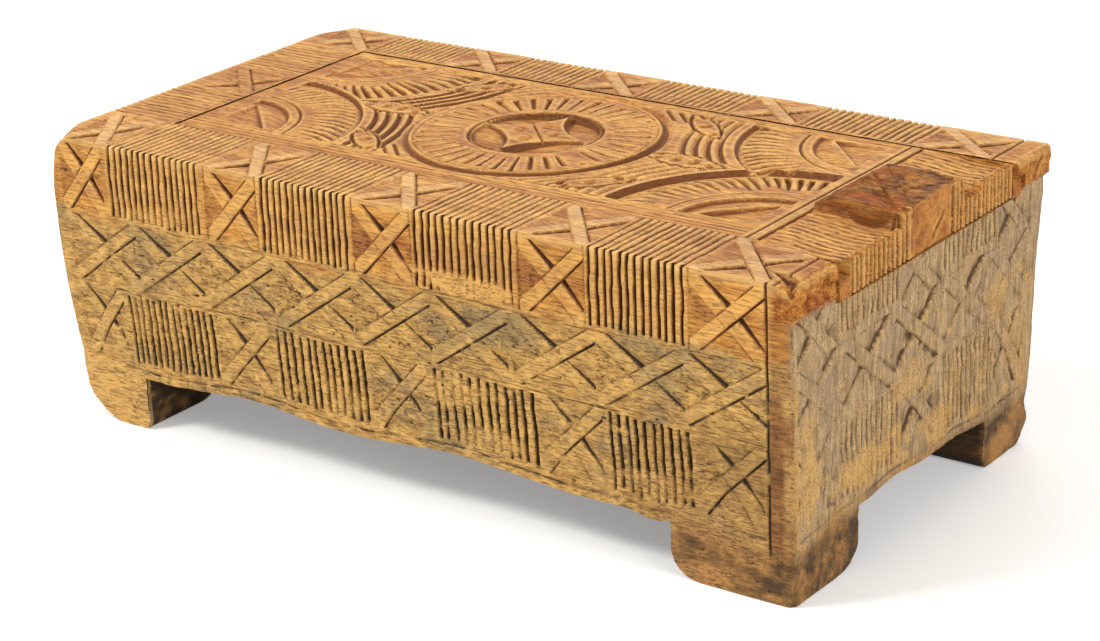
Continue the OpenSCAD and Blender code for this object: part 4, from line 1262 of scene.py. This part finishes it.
# the rows lie closer together down the two sides of the thumb block
grip_rows = np.concatenate([between(LID_FRONT, GRIP_FRONT - 0.8, 0.3),
                            between(GRIP_FRONT - 0.7, GRIP_FRONT + 0.7, 0.12),
                            between(GRIP_FRONT + 0.9, GRIP_BACK - 0.9, 0.3),
                            between(GRIP_BACK - 0.7, GRIP_BACK + 0.7, 0.12),
                            between(GRIP_BACK + 0.9, LID_BACK, 0.3)])
grip_grid = sheet(Z, 0, (PANEL_END, LID_RIGHT, 0.28), grip_rows)
grip_x, grip_y = grip_grid[..., 0], grip_grid[..., 1]
top_depth = grip_cut(grip_x, grip_y)
end_reach = smooth(LID_RIGHT - 2.1, LID_RIGHT, grip_x)
end_flutes = end_comb(grip_y, THUMB_TOP)
grip_grid[..., 2] = grip_level(grip_x, grip_y) - top_depth - 0.5 * end_reach * end_flutes
grip_grid[..., 0] -= (end_flutes + 0.2) * end_reach
# grip_x is part of the grid, so the marks below follow the moved points
block_here = on_block(grip_x, grip_y)
wall_here = np.clip(4 * block_here * (1 - block_here), 0, 1) * (grip_x > 94.6)
chipped_edge = smooth(GRIP_BACK, GRIP_BACK + 0.6, grip_y) * smooth(28.4, 27.6, grip_y)
# painted shade in the cuts and painted highlights on the ridges of the lid's end
grip_marks = relief_marks(top_depth, 0.28, 0.3, 1.2, 0.8, 0.5)
grip_marks["handled"] = smooth(0.9, 1.0, block_here) * smooth(LID_RIGHT - 0.2, LID_RIGHT - 2.4, grip_x)
grip_marks["redden"] = np.maximum(wall_here, smooth(0.02, 0.2, block_here) * smooth(0.98, 0.8, block_here))
grip_marks["broken"] = np.maximum(0.9 * smooth(LID_RIGHT - 1.5, LID_RIGHT - 0.2, grip_x),
                                  0.7 * chipped_edge * smooth(110, 116, grip_x))

# the end face, from just over the lid's underside up to the grid's last column
FACE_LOW = SEAT + 0.4
face_y, rise = np.meshgrid(grip_rows, np.linspace(0.0, 1.0, 44), indexing="ij")
edge_x = np.full(face_y.shape, LID_RIGHT)
top_flutes = end_comb(face_y, THUMB_TOP)
face_top = grip_level(edge_x, face_y) - grip_cut(edge_x, face_y) - 0.5 * top_flutes
face_z = FACE_LOW + (face_top - FACE_LOW) * rise
flutes = end_comb(face_y, face_z)
flutes = flutes + (top_flutes - flutes) * smooth(0.9, 1.0, rise)
slash = 1.9 * np.clip(1.25 - np.abs((face_y - 5.6) - 0.95 * (face_z - 77.8)) / 0.7, 0, 1)
slash = slash * smooth(74.6, 75.6, face_z) * smooth(81.4, 80.0, face_z)
plain = smooth(-7.2, -6.6, face_y) * smooth(12.8, 12.2, face_y)
worn = plain * (0.35 + 0.3 * lumps(face_y, face_z, 3.0, 4.0, 621)) * smooth(1.0, 0.9, rise)
face_depth = np.maximum(flutes, slash * plain) + worn + 0.2
face_grid = np.stack([LID_RIGHT - face_depth, face_y, face_z], -1)
# painted shade down the end face's flutes
face_marks = relief_marks(face_depth, 0.3, 0.3)
fresh_wood = 0.75 + 0.25 * lumps(face_y, face_z, 5.0, 5.0, 622)
face_marks["broken"] = fresh_wood * (1 - 0.8 * np.clip(face_depth / 1.4 - 0.3, 0, 1))

lid_skin("lid_thumb_end", [(grip_grid, False, grip_marks), (face_grid, False, face_marks)])


# ---------------------------------------------------------------- lid edges and underside
# The board's edges: a tongue left along each long edge that runs in the rail's groove,
# with a notch for a locking pin near the right end, and the flat planed underside.

UNDERSIDE = lid_low[2] / MM
TONGUE_TOP = 78.4
NOTCH_LEFT, NOTCH_RIGHT = PIN_X - 3.9, PIN_X + 3.9
EDGE_TOP = TOP - 0.9  # the edge walls start here and are then closed to the carved top


def lid_top(x, y):
    """Height of the lid's carved top, where its edges meet it."""
    return np.where(x < PANEL_END, lid_level(x, y) - lid_cut(x, y), grip_level(x, y) - grip_cut(x, y))


edges = []
for way, inner, out_y in ((-1, LID_FRONT, lid_low[1] / MM), (1, LID_BACK, lid_high[1] / MM)):
    for x_from, x_to, tip in ((LID_LEFT, NOTCH_LEFT, out_y), (NOTCH_LEFT, NOTCH_RIGHT, inner),
                              (NOTCH_RIGHT, LID_RIGHT, out_y)):
        profile = [(inner, EDGE_TOP), (inner, TONGUE_TOP), (tip, TONGUE_TOP), (tip, UNDERSIDE),
                   (inner, UNDERSIDE)]
        grid = run_along_x(x_from, x_to, profile, 0.6)
        top = lid_top(grid[:, 0, 0], grid[:, 0, 1])
        over = grid[..., 2] > TONGUE_TOP
        grid[..., 2] = np.where(over, np.minimum(grid[..., 2], top[:, None]), grid[..., 2])
        grid[:, 0, 2] = top
        edges.append((grid, way > 0, hidden_face_shade(grid, 0.2)))
        for at, turn in ((x_from, way > 0), (x_to, way < 0)):
            cap = sheet(X, at, (inner, tip + way * 1e-3, 1.5), (UNDERSIDE, TONGUE_TOP, 1.5))
            tongue_end = hidden_face_shade(cap, 0.3)
            tongue_end["broken"] = 0.8 if at == LID_RIGHT else 0.0
            edges.append((cap, turn, tongue_end))
base = sheet(Z, UNDERSIDE, (LID_LEFT, LID_RIGHT, 3.0), (LID_FRONT, LID_BACK, 3.0))
edges.append((base, True, hidden_face_shade(base, 0.2)))
left_edge = sheet(X, LID_LEFT, (LID_FRONT, LID_BACK, 0.5), (UNDERSIDE, EDGE_TOP, 1.5))
left_edge[:, -1, 2] = lid_top(left_edge[:, -1, 0], left_edge[:, -1, 1])
edges.append((left_edge, True, hidden_face_shade(left_edge, 0.3)))
lid_skin("lid_edges_and_underside", edges)


# ---------------------------------------------------------------- locking pins and plug
# Two short whittled pins, loose in bores across the rails, that slide into the lid's
# notches when the box is tipped, and the plug that closes the drill hole in the back.
# The pins are hidden and the plug is flush.

pin_finish = wood("whittled_pin_wood", tint(206, 150, 84), tint(140, 90, 42))


def whittled(name, node, body, flats=9):
    """A pin shaved to a faceted round with eased ends, inside its bore."""
    low, high = ([c / MM for c in corner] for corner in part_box(node))
    mid_x, mid_z = (low[0] + high[0]) / 2, (low[2] + high[2]) / 2
    radius = (high[0] - low[0]) / 2
    turn, along = np.meshgrid(np.linspace(0, 2 * math.pi, 73), np.linspace(0, 1, 25), indexing="ij")
    facet = np.cos(math.pi / flats) / np.cos(np.mod(turn, 2 * math.pi / flats) - math.pi / flats)
    length = high[1] - low[1]
    ease = np.clip(np.minimum(along, 1 - along) * length / 0.8, 0, 1)
    own = radius * (0.96 * facet) * (0.72 + 0.28 * np.sqrt(ease))
    own = np.where((along < 1e-6) | (along > 1 - 1e-6), 0.0, own)
    grid = np.stack([mid_x + own * np.cos(turn), low[1] + length * along, mid_z + own * np.sin(turn)], -1)
    piece = skin(name, [(grid, True, {"cut": 0.15})], pin_finish)
    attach(piece, body)
    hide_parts(node)


whittled("locking_pin_front", "front_pin", "front_pin")
whittled("locking_pin_back", "back_pin", "back_pin")
whittled("back_hole_plug", "hole_plug", "block", 11)


# ---------------------------------------------------------------- table, light and view
# A plain white table top under soft lamps, and the camera at the box's front right corner.

floor_mesh = bpy.data.meshes.new("table")
floor_mesh.from_pydata([(-4, -4, 0), (4, -4, 0), (4, 4, 0), (-4, 4, 0)], [], [(0, 1, 2, 3)])
table = bpy.data.objects.new("table", floor_mesh)
bpy.context.scene.collection.objects.link(table)
white = Finish(bpy.data.materials.new("white_table"))
paper = white.node("ShaderNodeBsdfDiffuse", Color=(0.86, 0.86, 0.86, 1))
glow = white.node("ShaderNodeEmission", Color=(1, 1, 1, 1), Strength=0.28)
bright = white.node("ShaderNodeAddShader", slots={0: paper, 1: glow})
seen = white.node("ShaderNodeLightPath")
white_table = white.close(white.node("ShaderNodeMixShader", slots={0: seen, 1: paper, 2: bright}))
floor_mesh.materials.append(white_table)

CAMERA_RAY, GLOSSY_RAY, TRANSMISSION_RAY = 0, 3, 6
bpy.context.scene.world = bpy.data.worlds.new("studio")
studio = Finish(bpy.context.scene.world)
lit = studio.node("ShaderNodeBackground", Color=(1.0, 0.98, 0.95, 1), Strength=0.42)
shown = studio.node("ShaderNodeBackground", Color=(1, 1, 1, 1), Strength=1.0)
rays = studio.node("ShaderNodeLightPath", out=CAMERA_RAY)
rays = rays.most(studio.node("ShaderNodeLightPath", out=GLOSSY_RAY))
rays = rays.most(studio.node("ShaderNodeLightPath", out=TRANSMISSION_RAY))
studio.close(studio.node("ShaderNodeMixShader", slots={0: rays, 1: lit, 2: shown}), "ShaderNodeOutputWorld")


AIM_HEIGHT = 0.04  # the lamps look at the middle of the box


def lamp(name, place, size, power):
    """A square lamp that looks at the box."""
    data = bpy.data.lights.new(name, "AREA")
    data.shape = "SQUARE"
    data.size = size
    data.energy = power
    data.color = (1.0, 0.985, 0.96)
    made = bpy.data.objects.new(name, data)
    bpy.context.scene.collection.objects.link(made)
    made.location = place
    x, y, z = place[0], place[1], place[2] - AIM_HEIGHT
    made.rotation_euler = (math.atan2(math.hypot(x, y), z), 0, math.atan2(x, -y))


lamp("key_lamp", (-0.75, -0.85, 1.25), 0.45, 16.5)
lamp("top_lamp", (-0.2, 0.9, 1.3), 0.7, 7.5)
lamp("fill_lamp", (1.4, -0.4, 0.7), 0.8, 12)

camera_data = bpy.data.cameras.new("view")
camera_data.sensor_width = 36.0
camera_data.lens = 95.12
camera_data.clip_start = 0.05
camera_data.clip_end = 20.0
camera = bpy.data.objects.new("view", camera_data)
bpy.context.scene.collection.objects.link(camera)
yaw, pitch, roll = math.radians(36.569), math.radians(21.184), math.radians(-2.167)
camera.matrix_world = (Matrix.Translation((0.4486, -0.6025, 0.3213)) @ Matrix.Rotation(yaw, 4, "Z")
                       @ Matrix.Rotation(math.pi / 2 - pitch, 4, "X") @ Matrix.Rotation(roll, 4, "Z"))
bpy.context.scene.camera = camera
bpy.context.scene.view_settings.view_transform = "Standard"
